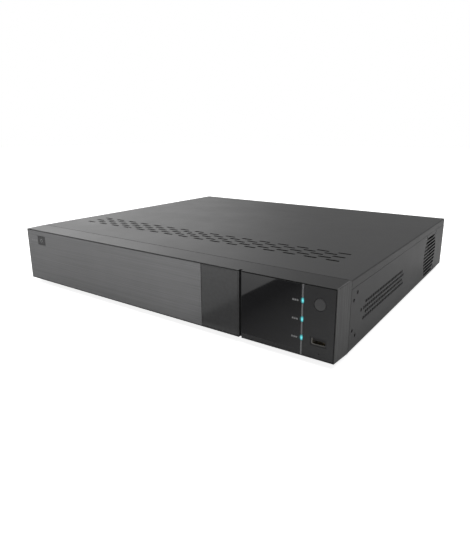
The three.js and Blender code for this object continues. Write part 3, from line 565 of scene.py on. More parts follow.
def fold(corner, inward_u, inward_v, leg):
    """Section of a fold: a flat end, the rounded corner, and a leg along v.

    corner is the outer corner (u, v); inward_u and inward_v are the signs towards the sheet's inside."""
    u, v = corner
    centre = (u + inward_u * BEND, v + inward_v * BEND)
    start = 90 if inward_v < 0 else -90
    stop = 0 if inward_u < 0 else 180
    if inward_v > 0 and inward_u > 0:
        stop = -180
    outer = arc(centre, BEND, start, stop)
    inner = arc(centre, BEND - SHEET, stop, start)
    return [*outer, (u, v + inward_v * leg), (u + inward_u * SHEET, v + inward_v * leg), *inner]


def top_vent():
    """Five staggered rows of slots across the front of the cover."""
    pitch, row_pitch = 24.3, 7.75
    slots = []
    for row in range(5):
        shifted = row % 2
        for k in range(16 - shifted):
            slots.append(obround(14.5, 3.6, (-185 + pitch * (k + shifted / 2), 78 + row * row_pitch)))
    return slots


def make_cover():
    cover = Maker("cover_shell")
    flat_side, flat_back = SIDE - BEND, DEPTH - BEND
    cover.plate("z", (HEIGHT - SHEET, HEIGHT), rectangle((-flat_side, flat_side), (COVER_FRONT, flat_back)),
                top_vent(), COAT, edge=0.1)
    for sign in (-1, 1):
        section = fold((sign * SIDE, HEIGHT), -sign, -1, HEIGHT - LIP_LOW)
        cover.prism("y", (COVER_FRONT, flat_back), [(z, x) for x, z in section], COAT, edge=0.08)
    back = fold((DEPTH, HEIGHT), -1, -1, 3)
    cover.prism("x", (-flat_side, flat_side), back, COAT)
    cover.plate("y", (DEPTH - SHEET, DEPTH), rectangle((FLANGE_LOW, HEIGHT - 2.9), (-flat_side, flat_side),
                                                       0.8),
                COVER_HOLES, COAT)
    cover.done("cover", ["top_cover", "cover_skirt"])


def pan_screw(maker, axis, centre, base, outward, radius, height, material, shank):
    """A cross-recessed pan head standing on `base`, its shank going the other way."""
    rim = base + outward * 0.02
    profile = [(0, base - outward * shank), (radius * 0.42, base - outward * shank), (radius * 0.42, rim),
               (radius * 0.96, rim), (radius, rim + outward * 0.25 * height),
               (radius * 0.86, rim + outward * 0.7 * height), (radius * 0.5, rim + outward * 0.95 * height),
               (radius * 0.34, rim + outward * height), (radius * 0.26, rim + outward * 0.45 * height),
               (0, rim + outward * 0.4 * height)]
    maker.lathe(axis, centre, profile, material, sides=28)
    # The cross recess is black bars on the head: painted shade in the recess.
    arm, top = radius * 0.62, rim + outward * 0.99 * height
    for long_u in (True, False):
        half = (arm, radius * 0.11) if long_u else (radius * 0.11, arm)
        maker.prism(axis, sorted((top - outward * 0.12 * height, top)),
                    rectangle((centre[0] - half[0], centre[0] + half[0]),
                              (centre[1] - half[1], centre[1] + half[1])),
                    BLACK)


def make_cover_screws():
    for k, (low, high) in enumerate(COVER_SCREWS):
        screw = Maker(f"cover_pan_screw_{k + 1}")
        centre = face_centre(low, high)
        pan_screw(screw, "y", centre, DEPTH + 0.05, 1, 3.3, 2.0, ZINC, 0.8)
        screw.done("cover", [f"cover_screw_{k + 1}"])


make_cover()
make_cover_screws()

# ---- Base tray ---------------------------------------------------------------------------------------
tray_low, tray_high = case_box("base_tray")
TRAY_FRONT, TRAY_BACK = tray_low.y, tray_high.y
SEAM = HEIGHT - 8.3
INNER = SIDE - 2.3  # inside of the joggled upper wall
fan_low, fan_high = case_box("fan_frame")
FAN_Y, FAN_Z = (fan_low.y + fan_high.y) / 2, (fan_low.z + fan_high.z) / 2
FAN_PITCH = 50
FAN_CORNERS = [(FAN_Y + a * FAN_PITCH / 2, FAN_Z + b * FAN_PITCH / 2) for a, b in
               ((-1, 1), (1, 1), (-1, -1), (1, -1))]
VENT_ROWS = (38, 33, 28, 23)
STANDOFFS = [(x, y) for x in (-98, 0, 96, 190) for y in (240, 352)]


def ear_holes():
    places = ((42, 53.5), (34, 48), (54, 33), (33.5, 19.5), (41.5, 12.5))
    return [circle(1.7, place, 20) for place in places]


def perforated_rows():
    holes = []
    for row, z in enumerate(VENT_ROWS):
        inset = row % 2
        holes += [circle(1.85, (66 - 5 * inset + 5 * k, z), 12) for k in range(24 + 2 * inset)]
    return holes


def slotted_rows():
    return [obround(17, 3, (74 + 20 * k, z)) for z in VENT_ROWS for k in range(6)]


def fan_grille():
    slots = []
    for row in range(-5, 6):
        reach = math.sqrt(31 ** 2 - (row * 4.8) ** 2)
        slots.append(obround(2 * reach, 3, (FAN_Y, 29.8 + row * 4.8)))
    return slots


def make_tray():
    tray = Maker("tray_shell")
    chamfer = 4
    wall = [(TRAY_FRONT, BEND), (TRAY_BACK - chamfer + BEND, BEND), (TRAY_BACK, chamfer),
            (TRAY_BACK, SEAM), (TRAY_FRONT, SEAM)]
    fan_screws = [circle(3.1, corner) for corner in FAN_CORNERS]
    sides = ((1, [*ear_holes(), *perforated_rows(), *fan_grille(), *fan_screws]),
             (-1, [*ear_holes(), *slotted_rows()]))
    for sign, holes in sides:
        span = sorted((sign * (SIDE - SHEET), sign * SIDE))
        tray.plate("x", span, wall, holes, COAT)
        upper = sorted((sign * INNER, sign * (INNER + SHEET)))
        tray.block(upper, (TRAY_FRONT, TRAY_BACK), (SEAM - SHEET, tray_high.z), COAT, edge=0.15)
        tray.block(sorted((sign * INNER, sign * (SIDE - 0.1))), (TRAY_FRONT, TRAY_BACK),
                   (SEAM - SHEET, SEAM - 0.05),
                   COAT, edge=0.1)
        section = fold((sign * SIDE, 0), -sign, 1, BEND + 0.05)
        tray.prism("y", (TRAY_FRONT, TRAY_BACK - chamfer), [(z, x) for x, z in section], COAT)
    vents = [obround(12, 4, (-60 + 22 * k, y), upright=True) for y in (270, 288) for k in range(7)]
    flat = SIDE - BEND
    tray.plate("z", (0, SHEET), rectangle((-flat, flat), (TRAY_FRONT, TRAY_BACK)), vents, COAT)
    tray.plate("y", (bezel_high.y, TRAY_FRONT + SHEET), rectangle((0.2, tray_high.z), (-INNER, INNER)),
               [rectangle((8, 60), (132, 212), 2)], COAT)
    tray.block((-INNER, INNER), (TRAY_FRONT, TRAY_FRONT + 8), (tray_high.z - SHEET, tray_high.z), COAT)
    for x, y in STANDOFFS:
        tray.prism("z", (SHEET, 6.7), circle(3, (x, y), 6), ZINC, edge=0.15)
    tray.done("chassis", ["base_tray"])


make_tray()

# ---- Front -------------------------------------------------------------------------------------------
carry("front_bezel", BEZEL, edge=0.5, segments=3)
carry("control_panel", CONTROL, edge=0.25)
carry("light_guide", GUIDE, edge=0.12)
for lamp in LAMP_NODES:
    carry(lamp, lit_lens(lamp, CYAN, LAMP_STRENGTH), edge=0.3)

FACE = 0.05  # panels carrying print sit this far behind the front plane
PRINT = (0.01, 0.1)  # front and back of the printed layer


def make_panels():
    low, high = case_box("brushed_fascia")
    badge_low, badge_high = case_box("badge_plate")
    pocket = rectangle((badge_low.z - 0.3, badge_high.z + 0.3), (badge_low.x - 0.3, badge_high.x + 0.3), 0.4)
    fascia = Maker("brushed_front_plate")
    sheet = rectangle((low.z, high.z), (low.x, high.x), 0.3)
    fascia.plate("y", (FACE, 0.9), sheet, [pocket], BRUSHED, edge=0.15)
    fascia.prism("y", (0.85, high.y), sheet, BRUSHED)
    fascia.done("chassis", ["brushed_fascia"])
    low, high = case_box("display_window")
    window = Maker("display_window_pane")
    window.block((low.x, high.x), (FACE, high.y), (low.z, high.z), WINDOW, edge=0.3)
    window.done("chassis", ["display_window"])
    badge = Maker("badge_tile")
    badge.block((badge_low.x, badge_high.x), (FACE, badge_high.y), (badge_low.z, badge_high.z), BADGE,
                edge=0.2)
    badge.done("chassis", ["badge_plate"])


def make_gloss_strip():
    """A lacquered strip with a shallow step just inside its edge."""
    low, high = case_box("gloss_strip")
    strip = Maker("gloss_strip_panel")
    strip.block((low.x, high.x), (0.25, 2), (low.z, high.z), GLOSS, edge=0.25)
    strip.block((low.x + 1.3, high.x - 1.3), (0, 1), (low.z + 0.9, high.z - 0.9), GLOSS, edge=0.2)
    strip.done("chassis", ["gloss_strip"])


def make_marks():
    """Unlettered printed bars: one row beside each lamp, and a short row beside the badge."""
    for k, name in enumerate(LAMP_NODES):
        low, high = case_box(name)
        middle = (low.z + high.z) / 2 - 0.5
        marks = Maker(f"lamp_marks_{k + 1}")
        for step in range(3):
            left = 177.6 + 2.1 * step
            marks.block((left, left + 1.6), PRINT, about(middle, 0.75), MARK, edge=0.01)
        marks.done("chassis")
    low, high = case_box("badge_plate")
    badge = Maker("badge_marks")
    for step in range(3):
        left = low.x - 14 + 4.4 * step
        badge.block((left, left + 3.4), PRINT, (52.6, 54.6), MARK, edge=0.01)
    centre = face_centre(low, high)
    badge.lathe("y", centre, [(1.5, PRINT[1]), (2.3, PRINT[1]), (2.3, PRINT[0]), (1.5, PRINT[0]),
                                 (1.5, PRINT[1])], MARK, 28)
    badge.done("chassis")


def make_button():
    low, high = case_box("power_button")
    centre = face_centre(low, high)
    button = Maker("round_button")
    button.lathe("y", centre, [
        (0, 0.28), (2.5, 0.22), (4.3, 0.06), (4.9, 0.0), (5.15, 0.18), (5.2, 0.5), (5.2, 2.3), (6.6, 2.3),
        (6.6, 3.3), (2.4, 3.3), (2.4, high.y), (0, high.y),
    ], BUTTON, sides=56)
    button.done("button", ["power_button"])


def socket_shell(maker, x, y, z, wall, material, corner=0.5):
    """A thin rectangular tube open towards the front, with a closed back."""
    outer = rectangle(z, x, corner)
    inner = rectangle((z[0] + wall, z[1] - wall), (x[0] + wall, x[1] - wall), corner)
    maker.plate("y", (y[0], y[1] - wall), outer, [inner], material, edge=0.06)
    maker.prism("y", (y[1] - wall, y[1]), outer, material)


def make_front_usb():
    low, high = case_box("front_usb_socket")
    shell = Maker("front_usb_shell")
    socket_shell(shell, *spans(low, high), 0.4, NICKEL)
    middle_x = (low.x + high.x) / 2
    for side in (-3.2, 3.2):
        shell.block(about(middle_x + side, 0.9), (2.5, 8), (low.z + 0.4, low.z + 0.75), NICKEL)

    def frame_round(grow):
        return rectangle((low.z - grow, high.z + grow), (low.x - grow, high.x + grow), 0.5)

    # Black frame over the shell's front rim: painted shade, a dark sheet put where the gap round the socket is
    # in shadow.
    shell.plate("y", (0.25, 0.9), frame_round(0.4), [frame_round(-0.5)], BLACK, edge=0.08)
    shell.plate("y", (0.95, 2.2), frame_round(-0.1), [frame_round(-0.85)], NICKEL, edge=0.3)
    shell.done("chassis", ["front_usb_socket"])
    low, high = case_box("front_usb_tongue")
    tongue = Maker("front_usb_contacts")
    tongue.block(*spans(low, high), BLACK, edge=0.15)
    for lane in (-3.5, -1.2, 1.2, 3.5):
        tongue.block(about(middle_x + lane, 0.5), (low.y + 7, high.y), (low.z - 0.12, low.z + 0.2),
                     GOLD, edge=0.05)
    tongue.done("chassis", ["front_usb_tongue"])


make_panels()
make_gloss_strip()
make_marks()
make_button()
make_front_usb()

# ---- Rear panel and sockets --------------------------------------------------------------------------
VIDEO_X = (185, 149, 113, 77)
VIDEO_ROWS = (18.5, 37)
HALF_PITCH = 8.5
SKIN = 0.1  # softened edge of small moulded and turned parts


def centre_of(node):
    low, high = case_box(node)
    return (low + high) / 2


def make_rear_panel():
    panel = Maker("rear_panel_sheet")
    top = SEAM - 1
    inner = INNER - 0.3
    sockets = [circle(7, (z, x + side * HALF_PITCH),
                      28) for x in VIDEO_X for side in (-1, 1) for z in VIDEO_ROWS]
    vents = [obround(9, 3.6, (49, x)) for x in range(-204, 61, 12)]

    def window(x, z, half_wide, half_tall, corner=0.6):
        return rectangle(about(z, half_tall), about(x, half_wide), corner)

    windows = [window(40, 16, 15.9, 6.7), window(11, 12, 8, 3.4), window(-11, 16, 8.5, 7.4),
               window(-33, 17, 7.7, 8.4), window(-85, 14.2, 15.4, 5.6), window(-190, 23, 14, 10.4),
               window(-152, 23, 7.1, 11.2), *[circle(4.9, (z, -54), 28) for z in (16, 30)],
               circle(2, (14, -120), 20)]
    panel.plate("y", (DEPTH - SHEET, DEPTH), rectangle((0, top), (-SIDE, SIDE), 0.6),
                [*sockets, *vents, *windows],
                COAT)
    step = DEPTH - SHEET - 1.3
    panel.block((-inner, inner), (step, DEPTH - 0.1), (top - SHEET, top - 0.06), COAT, edge=0.1)
    panel.plate("y", (step, step + SHEET), rectangle((top - SHEET, tray_high.z), (-inner, inner)),
                COVER_HOLES, COAT)
    outside = DEPTH + 0.02
    frames = [(166, 202, 8, 47), (130, 165, 8, 47), (94, 129, 8, 47), (58, 93, 8, 47), (-64, -44, 8, 38)]
    for left, right, low, high in frames:
        panel.plate("y", (outside - 0.05, outside),
                    rectangle((low - 1.4, high), (left - 0.2, right + 0.2), 1.5, 4),
                    [rectangle((low - 1.0, high - 0.4), (left + 0.2, right - 0.2), 1.2, 4)], MARK, edge=0.01)
    panel.done("chassis", ["rear_panel"])


def make_video_blocks():
    for number, x in enumerate(VIDEO_X, 1):
        low, high = case_box(f"video_block_{number}")
        block = Maker(f"video_block_body_{number}")
        block.block(about(x, 17), (low.y, DEPTH - SHEET - 0.3), (low.z, 46), BLACK, edge=0.5)
        for side in (-1, 1):
            for z in VIDEO_ROWS:
                u = x + side * HALF_PITCH
                start = DEPTH
                block.lathe("y", (z, u), [
                    (0, start - 4), (6.2, start - 4), (6.2, start + 1.0), (5.7, start + 1.2),
                    (4.8, start + 1.4),
                    (4.8, high.y - 0.5), (4.5, high.y), (4.15, high.y), (4.0, high.y - 0.3), (4.0, start + 2),
                    (0, start + 2),
                ], NICKEL, sides=44)
                for groove in (3.0, 3.9, 4.8):
                    block.lathe("y", (z, u), [(4.7, start + groove), (4.95, start + groove + 0.2),
                                              (4.95, start + groove + 0.4), (4.7, start + groove + 0.6)],
                                              NICKEL, 44)
                for lug in (-1, 1):
                    span = sorted((u + lug * 4.4, u + lug * 5.6))
                    block.block(span, (start + 6.5, start + 8.3), about(z, 0.9), NICKEL, edge=0.3)
                block.lathe("y", (z, u), rise(start, [(0, 1.6), (3.1, 1.6), (3.1, 6.4), (2.7, 6.8),
                                                      (0.9, 6.8), (0.9, 5.2), (0, 5.2)]), WHITE, 32)
                block.lathe("y", (z, u), rise(start, [(0.75, 1.7), (0.75, 8.3), (0.45, 8.5), (0.3, 6),
                                                      (0, 6)]), GOLD, 20)
        block.done("chassis", [f"video_block_{number}"])


def make_vga():
    middle = centre_of("vga_socket")
    low, high = case_box("vga_socket")
    x, z = middle.x, 16
    vga = Maker("monitor_socket")
    vga.block(about(x, 15.5), (DEPTH - 18, DEPTH - 1.4), (low.z, z + 6.3), NICKEL, edge=0.5)

    def taper(inset):
        return [(z - 3.9 + inset, x - 7.4 + inset), (z + 3.9 - inset, x - 8.6 + inset),
                (z + 3.9 - inset, x + 8.6 - inset), (z - 3.9 + inset, x + 7.4 - inset)]

    vga.plate("y", (DEPTH - 2, high.y), taper(0.05), [taper(0.55)], NICKEL, edge=0.12)
    holes = [circle(0.45, (z + 2.1 - 2.1 * row, x + 2.3 * (k - 2) + (0.6 if row == 1 else 0)), 12)
             for row in range(3) for k in range(5)]
    vga.plate("y", (DEPTH - 1.5, DEPTH + 4.7), taper(0.5), holes, BLUE, edge=0.05)
    for side in (-12.5, 12.5):
        vga.prism("y", (DEPTH - 2, DEPTH + 4.4), circle(2.6, (z, x + side), 6), ZINC, edge=0.25)
        vga.lathe("y", (z, x + side), rise(DEPTH, [(0, 4.3), (1.9, 4.3), (1.9, 4.55), (1.1, 4.6),
                                                   (1.0, 4.35), (0, 4.35)]), ZINC, 20)
    vga.done("chassis", ["vga_socket"])


def make_digital_video():
    low, high = case_box("hdmi_socket")
    middle = (low + high) / 2
    hdmi = Maker("video_digital_socket")
    rim = [(low.z + 1.5, low.x + 0.9), (low.z + 1.5, high.x - 0.9), (low.z + 3.2, high.x), (high.z, high.x),
           (high.z, low.x), (low.z + 3.2, low.x)]
    rim = [(z - (1.5 if k < 2 else 0.9 if k in (2, 5) else 0), x) for k, (z, x) in enumerate(rim)]
    core = [(middle.z + (z - middle.z) * 0.82, middle.x + (x - middle.x) * 0.92) for z, x in rim]
    hdmi.plate("y", (low.y + 0.6, high.y), rim, [core], NICKEL, edge=0.08)
    hdmi.prism("y", (low.y, low.y + 0.6), rim, NICKEL)
    hdmi.block(about(middle.x, 5.4), (low.y + 0.3, high.y - 1.8), about(middle.z, 0.5), BLACK,
               edge=SKIN)
    for lane in range(9):
        u = middle.x - 4.4 + 1.1 * lane
        hdmi.block(about(u, 0.22), (high.y - 7, high.y - 2), about(middle.z, 0.56), GOLD, edge=0.02)
    hdmi.done("chassis", ["hdmi_socket"])


def make_network():
    low, high = case_box("network_socket")
    x, z = -11, 16
    net = Maker("network_socket_shell")
    mouth = [(z - 5.6, x - 3), (z - 5.6, x + 3), (z - 3.6, x + 3), (z - 3.6, x + 5.9), (z + 4.6, x + 5.9),
             (z + 4.6, x - 5.9), (z - 3.6, x - 5.9), (z - 3.6, x - 3)]
    net.plate("y", (DEPTH - 13, high.y), rectangle((low.z, high.z), (low.x, high.x), 0.4), [mouth], NICKEL)
    net.block((low.x, high.x), (low.y, DEPTH - 13), (low.z, high.z), BLACK, edge=0.3)
    for lane in range(8):
        u = x - 3.6 + 1.02 * lane
        net.tube([(u, DEPTH - 12.7, z + 4.5), (u, DEPTH - 9, z + 3.7), (u, DEPTH - 4, z + 4.4)], 0.2, GOLD, 1)
    net.done("chassis", ["network_socket"])


def make_rear_usb():
    low, high = case_box("rear_usb_socket")
    x, z = -33, 17
    usb = Maker("rear_usb_shell")
    ports = [rectangle(about(z + lift, 2.8), about(x, 6.6), 0.3) for lift in (-3.9, 4)]
    usb.plate("y", (DEPTH - 13, high.y), rectangle((low.z, high.z), (low.x, high.x), 0.4), ports, NICKEL)
    usb.block((low.x, high.x), (low.y, DEPTH - 13), (low.z, high.z), NICKEL, edge=0.3)
    for lift in (-3.9, 4):
        usb.block(about(x, 5.6), (DEPTH - 13.5, DEPTH - 1), (z + lift + 0.3, z + lift + 2.1), BLACK,
                  edge=SKIN)
        for lane in (-3.5, -1.2, 1.2, 3.5):
            usb.block(about(x + lane, 0.5), (DEPTH - 10, DEPTH - 1.5), (z + lift + 0.16, z + lift + 0.5),
                      GOLD,
                      edge=0.05)
    usb.done("chassis", ["rear_usb_socket"])


def make_sound():
    low, high = case_box("audio_socket")
    sound = Maker("sound_sockets")
    sound.block((low.x, high.x), (low.y, DEPTH - SHEET - 0.3), (low.z, high.z), BLACK, edge=0.4)
    for z, face in ((16, WHITE), (30, RED)):
        sound.lathe("y", (z, -54), [(0, DEPTH - 3), (4.2, DEPTH - 3), (4.2, high.y - 0.3), (3.9, high.y),
                                    (3.3, high.y), (3.1, high.y - 0.4), (0, high.y - 0.4)], NICKEL, 36)
        sound.lathe("y", (z, -54), rise(high.y, [(3.05, -0.5), (3.05, -0.15), (1.7, -0.15), (1.6, -0.6)]),
                    face, 32)
        # A black disc at the bottom of the shallow centre hole: painted shade in the hole.
        sound.lathe("y", (z, -54), rise(high.y, [(1.62, -0.45), (1.55, -0.3), (0, -0.35)]), BLACK, 24)
    sound.done("chassis", ["audio_socket"])


def make_terminals():
    low, high = case_box("terminal_block")
    block = Maker("terminal_strip")
    lanes = [-85 + 3.5 * (k - 3.5) for k in range(8)]
    mouths = [rectangle((10.6, 13.4), about(x, 1.2), 0.2) for x in lanes]
    screws = [circle(1.25, (16.3, x), 18) for x in lanes]
    block.plate("y", (DEPTH - 4, high.y), rectangle((low.z, high.z), (low.x, high.x), 0.3),
                [*mouths, *screws], GREEN)
    block.block((low.x, high.x), (low.y, DEPTH - 4), (low.z, high.z), GREEN, edge=0.3)
    for x in lanes:
        block.lathe("y", (16.3, x), rise(DEPTH, [(0, 1.6), (1.1, 1.6), (1.1, 3.0), (0.9, 3.2), (0, 3.2)]),
                    ZINC, 18)
        # A black bar across each screw head for its slot: painted shade in the slot.
        block.block(about(x, 1), (DEPTH + 3.0, DEPTH + 3.25), (16.15, 16.45), BLACK, edge=0)
        block.block(about(x, 1.0), (DEPTH - 3.9, DEPTH - 2.5), (10.9, 13.1), ZINC, edge=0.05)
    block.done("chassis", ["terminal_block"])


def make_ground_screw():
    screw = Maker("ground_screw_head")
    pan_screw(screw, "y", (14, -120), DEPTH + 0.3, 1, 3.6, 2.1, ZINC, 7)
    screw.lathe("y", (14, -120), rise(DEPTH, [(1.9, 0.05), (4.3, 0.05), (4.3, 0.28), (1.9, 0.28)]), ZINC, 30)
    screw.done("chassis", ["ground_screw"])


def make_mains():
    low, high = case_box("mains_inlet")
    x, z = -190, 23
    recess = [(z - 7.8, x - 12), (z + 3.4, x - 12), (z + 7.8, x - 8), (z + 7.8, x + 8), (z + 3.4, x + 12),
              (z - 7.8, x + 12)]
    inlet = Maker("mains_inlet_moulding")
    flange = rectangle((low.z, high.z), (low.x, high.x), 2.5)
    inlet.plate("y", (DEPTH + 0.3, high.y), flange, [recess], BLACK, edge=0.4)
    inlet.plate("y", (DEPTH - 15, DEPTH + 0.35), rectangle(about(z, 10.1), about(x, 13.7), 1),
                [recess], BLACK)
    inlet.block(about(x, 13.7), (low.y, DEPTH - 15), about(z, 10.1), BLACK, edge=0.4)
    for across, up in ((-7, -1.6), (7, -1.6), (0, 2.4)):
        inlet.block(about(x + across, 1), (DEPTH - 15.5, DEPTH - 3), about(z + up, 2), NICKEL, edge=0.45,
                    segments=3)
    inlet.done("chassis", ["mains_inlet"])


make_rear_panel()
make_video_blocks()
make_vga()
make_digital_video()
make_network()
make_rear_usb()
make_sound()
make_terminals()
make_ground_screw()
make_mains()
carry("rocker_housing", BLACK, edge=0.5, segments=3)
carry("rocker_key", BLACK, edge=0.5, segments=3)

# ---- Inside ------------------------------------------------------------------------------------------
board_low, board_high = case_box("main_board")
BOARD_TOP = board_low.z + 1.6


def capacitor(maker, x, y, base, radius, tall, sleeve):
    """A can: sleeve with a waist near its foot, and a bare top whose scores are black bars, painted shade in
    the score lines.
    """
    top = base + tall
    maker.lathe("z", (x, y), [
        (0, base), (radius * 0.96, base), (radius, base + 0.3), (radius, base + 0.9),
        (radius * 0.93, base + 1.3),
        (radius, base + 1.7), (radius, top - 0.4), (radius * 0.93, top - 0.05), (radius * 0.88, top - 0.05),
    ], sleeve, 32)
    maker.lathe("z", (x, y), rise(top, [(radius * 0.9, -0.1), (radius * 0.86, 0), (0, 0)]), MACHINED, 32)
    # The scores: black bars, painted shade in the grooves.
    for turn in (0, math.pi / 2):
        half = radius * 0.7
        maker.block(about(x, half), about(y, 0.1), (top - 0.1, top), BLACK, edge=0,
                    turn=Matrix.Rotation(turn, 4, "Z"))


def chip(maker, x, y, half_x, half_y, base, tall, pins):
    """A package with gull-wing pins on its two long sides, and a dot at one corner."""
    maker.block((x - half_x + 0.8, x + half_x - 0.8), about(y, half_y), (base + 0.1, base + tall), CHIP, 0.15)
    for k in range(pins):
        v = y - half_y + (k + 0.5) * 2 * half_y / pins
        for side in (-1, 1):
            span = sorted((x + side * (half_x - 1), x + side * half_x))
            maker.block(span, about(v, 0.16), (base, base + 0.45), ZINC, edge=0.04, segments=1)
    maker.lathe("z", (x - half_x + 2, y - half_y + 1.2), [(0, base + tall), (0.4, base + tall),
                                                          (0.4, base + tall + 0.02),
                                                          (0, base + tall + 0.02)], MARK, 12)


def header(maker, x, y, half_x, half_y, tall, ways, shade=None):
    """An open plug header: a walled moulding with a row of pins in it."""
    shade = shade or WHITE
    top = BOARD_TOP + tall
    maker.plate("z", (BOARD_TOP, top), rectangle(about(x, half_x), about(y, half_y), 0.3),
                [rectangle((x - half_x + 0.7, x + half_x - 0.7), (y - half_y + 0.7, y + half_y - 0.7))],
                shade)
    along_y = half_y > half_x
    reach = (half_y if along_y else half_x) - 1.8
    for k in range(ways):
        step = -reach + 2 * reach * k / max(1, ways - 1)
        u, v = (x, y + step) if along_y else (x + step, y)
        maker.block(about(u, 0.3), about(v, 0.3), (BOARD_TOP, top - 1.5), GOLD, edge=0.08)


def make_main_board():
    board = Maker("main_board_assembly")
    holes = [circle(1.6, at, 20) for at in STANDOFFS]
    outline = rectangle((board_low.x, board_high.x), (board_low.y, board_high.y), 1.2)
    board.plate("z", (board_low.z, BOARD_TOP), outline, holes, BOARD, edge=0.1)
    for at in STANDOFFS:
        board.plate("z", (BOARD_TOP, BOARD_TOP + 0.06), circle(3.1, at, 24), [circle(1.7, at, 24)], ZINC,
                    edge=0.01)
        board.lathe("z", at, rise(BOARD_TOP, [(1.5, -1), (1.5, 0.2), (2.8, 0.2), (2.7, 1), (1.6, 1.5),
                                              (0, 1.5)]), ZINC, 24)
    board.block((46, 74), (271, 299), (BOARD_TOP, BOARD_TOP + 1.0), BOARD, edge=0.1)
    board.block((49, 71), (274, 296), (BOARD_TOP + 1, BOARD_TOP + 2), CHIP, edge=0.2)
    for k in range(4):
        chip(board, 20, 262 + 15 * k, 7, 5, BOARD_TOP, 1.2, 14)
        chip(board, 77 + 36 * k, 340, 8, 8, BOARD_TOP, 1.4, 16)
    for x, y in ((-88, 262), (-88, 276), (-74, 262), (-40, 330), (-20, 330), (130, 262)):
        capacitor(board, x, y, BOARD_TOP, 4, 12, SLEEVE)
    header(board, -62, 236, 7, 3, 8, 7, BLACK)
    header(board, -36, 236, 7, 3, 8, 7, BLACK)
    header(board, -96, 300, 4, 12, 9, 6)
    header(board, 145, 238, 9, 3, 6, 8)
    header(board, 188, 292, 4, 4, 6, 3)
    rows = [(-40 + 6 * k, 262) for k in range(7)] + [(-40 + 6 * k, 310) for k in range(7)]
    rows += [(77 + 36 * k + 3.4 * j - 8.5, 356) for k in range(4) for j in range(6)]
    rows += [(77 + 36 * k + 3.4 * j - 8.5, 325) for k in range(4) for j in range(6)]
    rows += [(36, 262 + 4 * k) for k in range(12)] + [(-100, 330 + 4 * k) for k in range(10)]
    for x, y in rows:
        board.block(about(x, 0.5), about(y, 0.9), (BOARD_TOP, BOARD_TOP + 0.5), BROWN, edge=0.05, segments=1)
        for end in (-0.85, 0.85):
            board.block(about(x, 0.52), about(y + end, 0.2), (BOARD_TOP, BOARD_TOP + 0.55), ZINC,
                        edge=0.04, segments=1)
    for x in (-30, -12, 100, 118):
        board.block(about(x, 4), (292, 300), (BOARD_TOP, BOARD_TOP + 3.6), CHIP, edge=0.6)
        board.lathe("z", (x, 296), rise(BOARD_TOP, [(0, 3.6), (2.6, 3.6), (2.6, 3.8), (0, 3.8)]), BROWN, 28)
    board.done("chassis", ["main_board"])


def make_coin_cell():
    low, high = case_box("coin_cell")
    x, y = (low.x + high.x) / 2, (low.y + high.y) / 2
    cell = Maker("coin_cell_in_holder")
    cell.lathe("z", (x, y), [(0, low.z), (10, low.z), (10, low.z + 1.2), (9.6, low.z + 1.3),
                             (9.6, high.z - 0.4),
                             (9.2, high.z - 0.1), (8.2, high.z - 0.1), (8.0, high.z), (0, high.z)], NICKEL,
                             48)
    cell.done("chassis", ["coin_cell"])


def make_supply_board():
    low, high = case_box("supply_board")
    parts = Maker("supply_assembly")
    top = low.z + 1.6
    parts.plate("z", (low.z, top), rectangle((low.x, high.x), (low.y, high.y), 1), [], BROWN, edge=0.1)
    parts.block((-182, -150), (285, 309), (top, 36), CHIP, edge=0.5)
    parts.block((-178, -154), (282, 312), (top + 2, 32), YELLOW, edge=2.2, segments=3)
    parts.block((-182.0, -150), (288, 306), (33.5, 36), CHIP, edge=0.5)
    capacitor(parts, -196, 300, top, 9, 28.4, BLACK)
    for k in range(6):
        left = -206 + 6 * k
        parts.block((left, left + 3.6), (258, 261), (top, 34), MACHINED, edge=0.3)
    parts.block((-206, -172), (259, 260), (top, 34), MACHINED, edge=0.2)
    parts.block((-144, -141), (262, 330), (top, 34), MACHINED, edge=0.25)
    for y in (275, 295, 315):
        parts.block((-148.5, -144), about(y, 5), (top + 6, top + 21), CHIP, edge=0.3)
        parts.lathe("x", (y, top + 17), [(1.6, -148.8), (1.6, -148.5), (0, -148.8)], ZINC, 20)
    parts.block((-203, -183), (324, 340), (top, 28), CHIP, edge=0.4)
    for k in range(9):
        z = 11.5 + 1.7 * k
        for a, b in ((-202.5, -195), (-191, -183.5)):
            parts.block((a, b), (322.2, 341.8), (z, z + 1.5), GOLD, edge=0.7, segments=3)
    for x in (-132, -160, -172):
        capacitor(parts, x, 250, top, 5, 19.4, SLEEVE)
    parts.block((-176, -150), (340, 348), (top, 18), WHITE, edge=0.4)
    for k in range(3):
        parts.block((-173 + 9 * k, -167 + 9 * k), (341, 347), (17.2, 18), BLACK, edge=0.2)
    parts.block((-134, -124), (270, 300), (top, 20), WHITE, edge=0.4)
    for k in range(7):
        parts.block((-132.5, -125.5), (272 + 4 * k, 274.4 + 4 * k), (19.3, 20), BLACK, edge=0.1)
    parts.done("chassis", ["supply_board"])


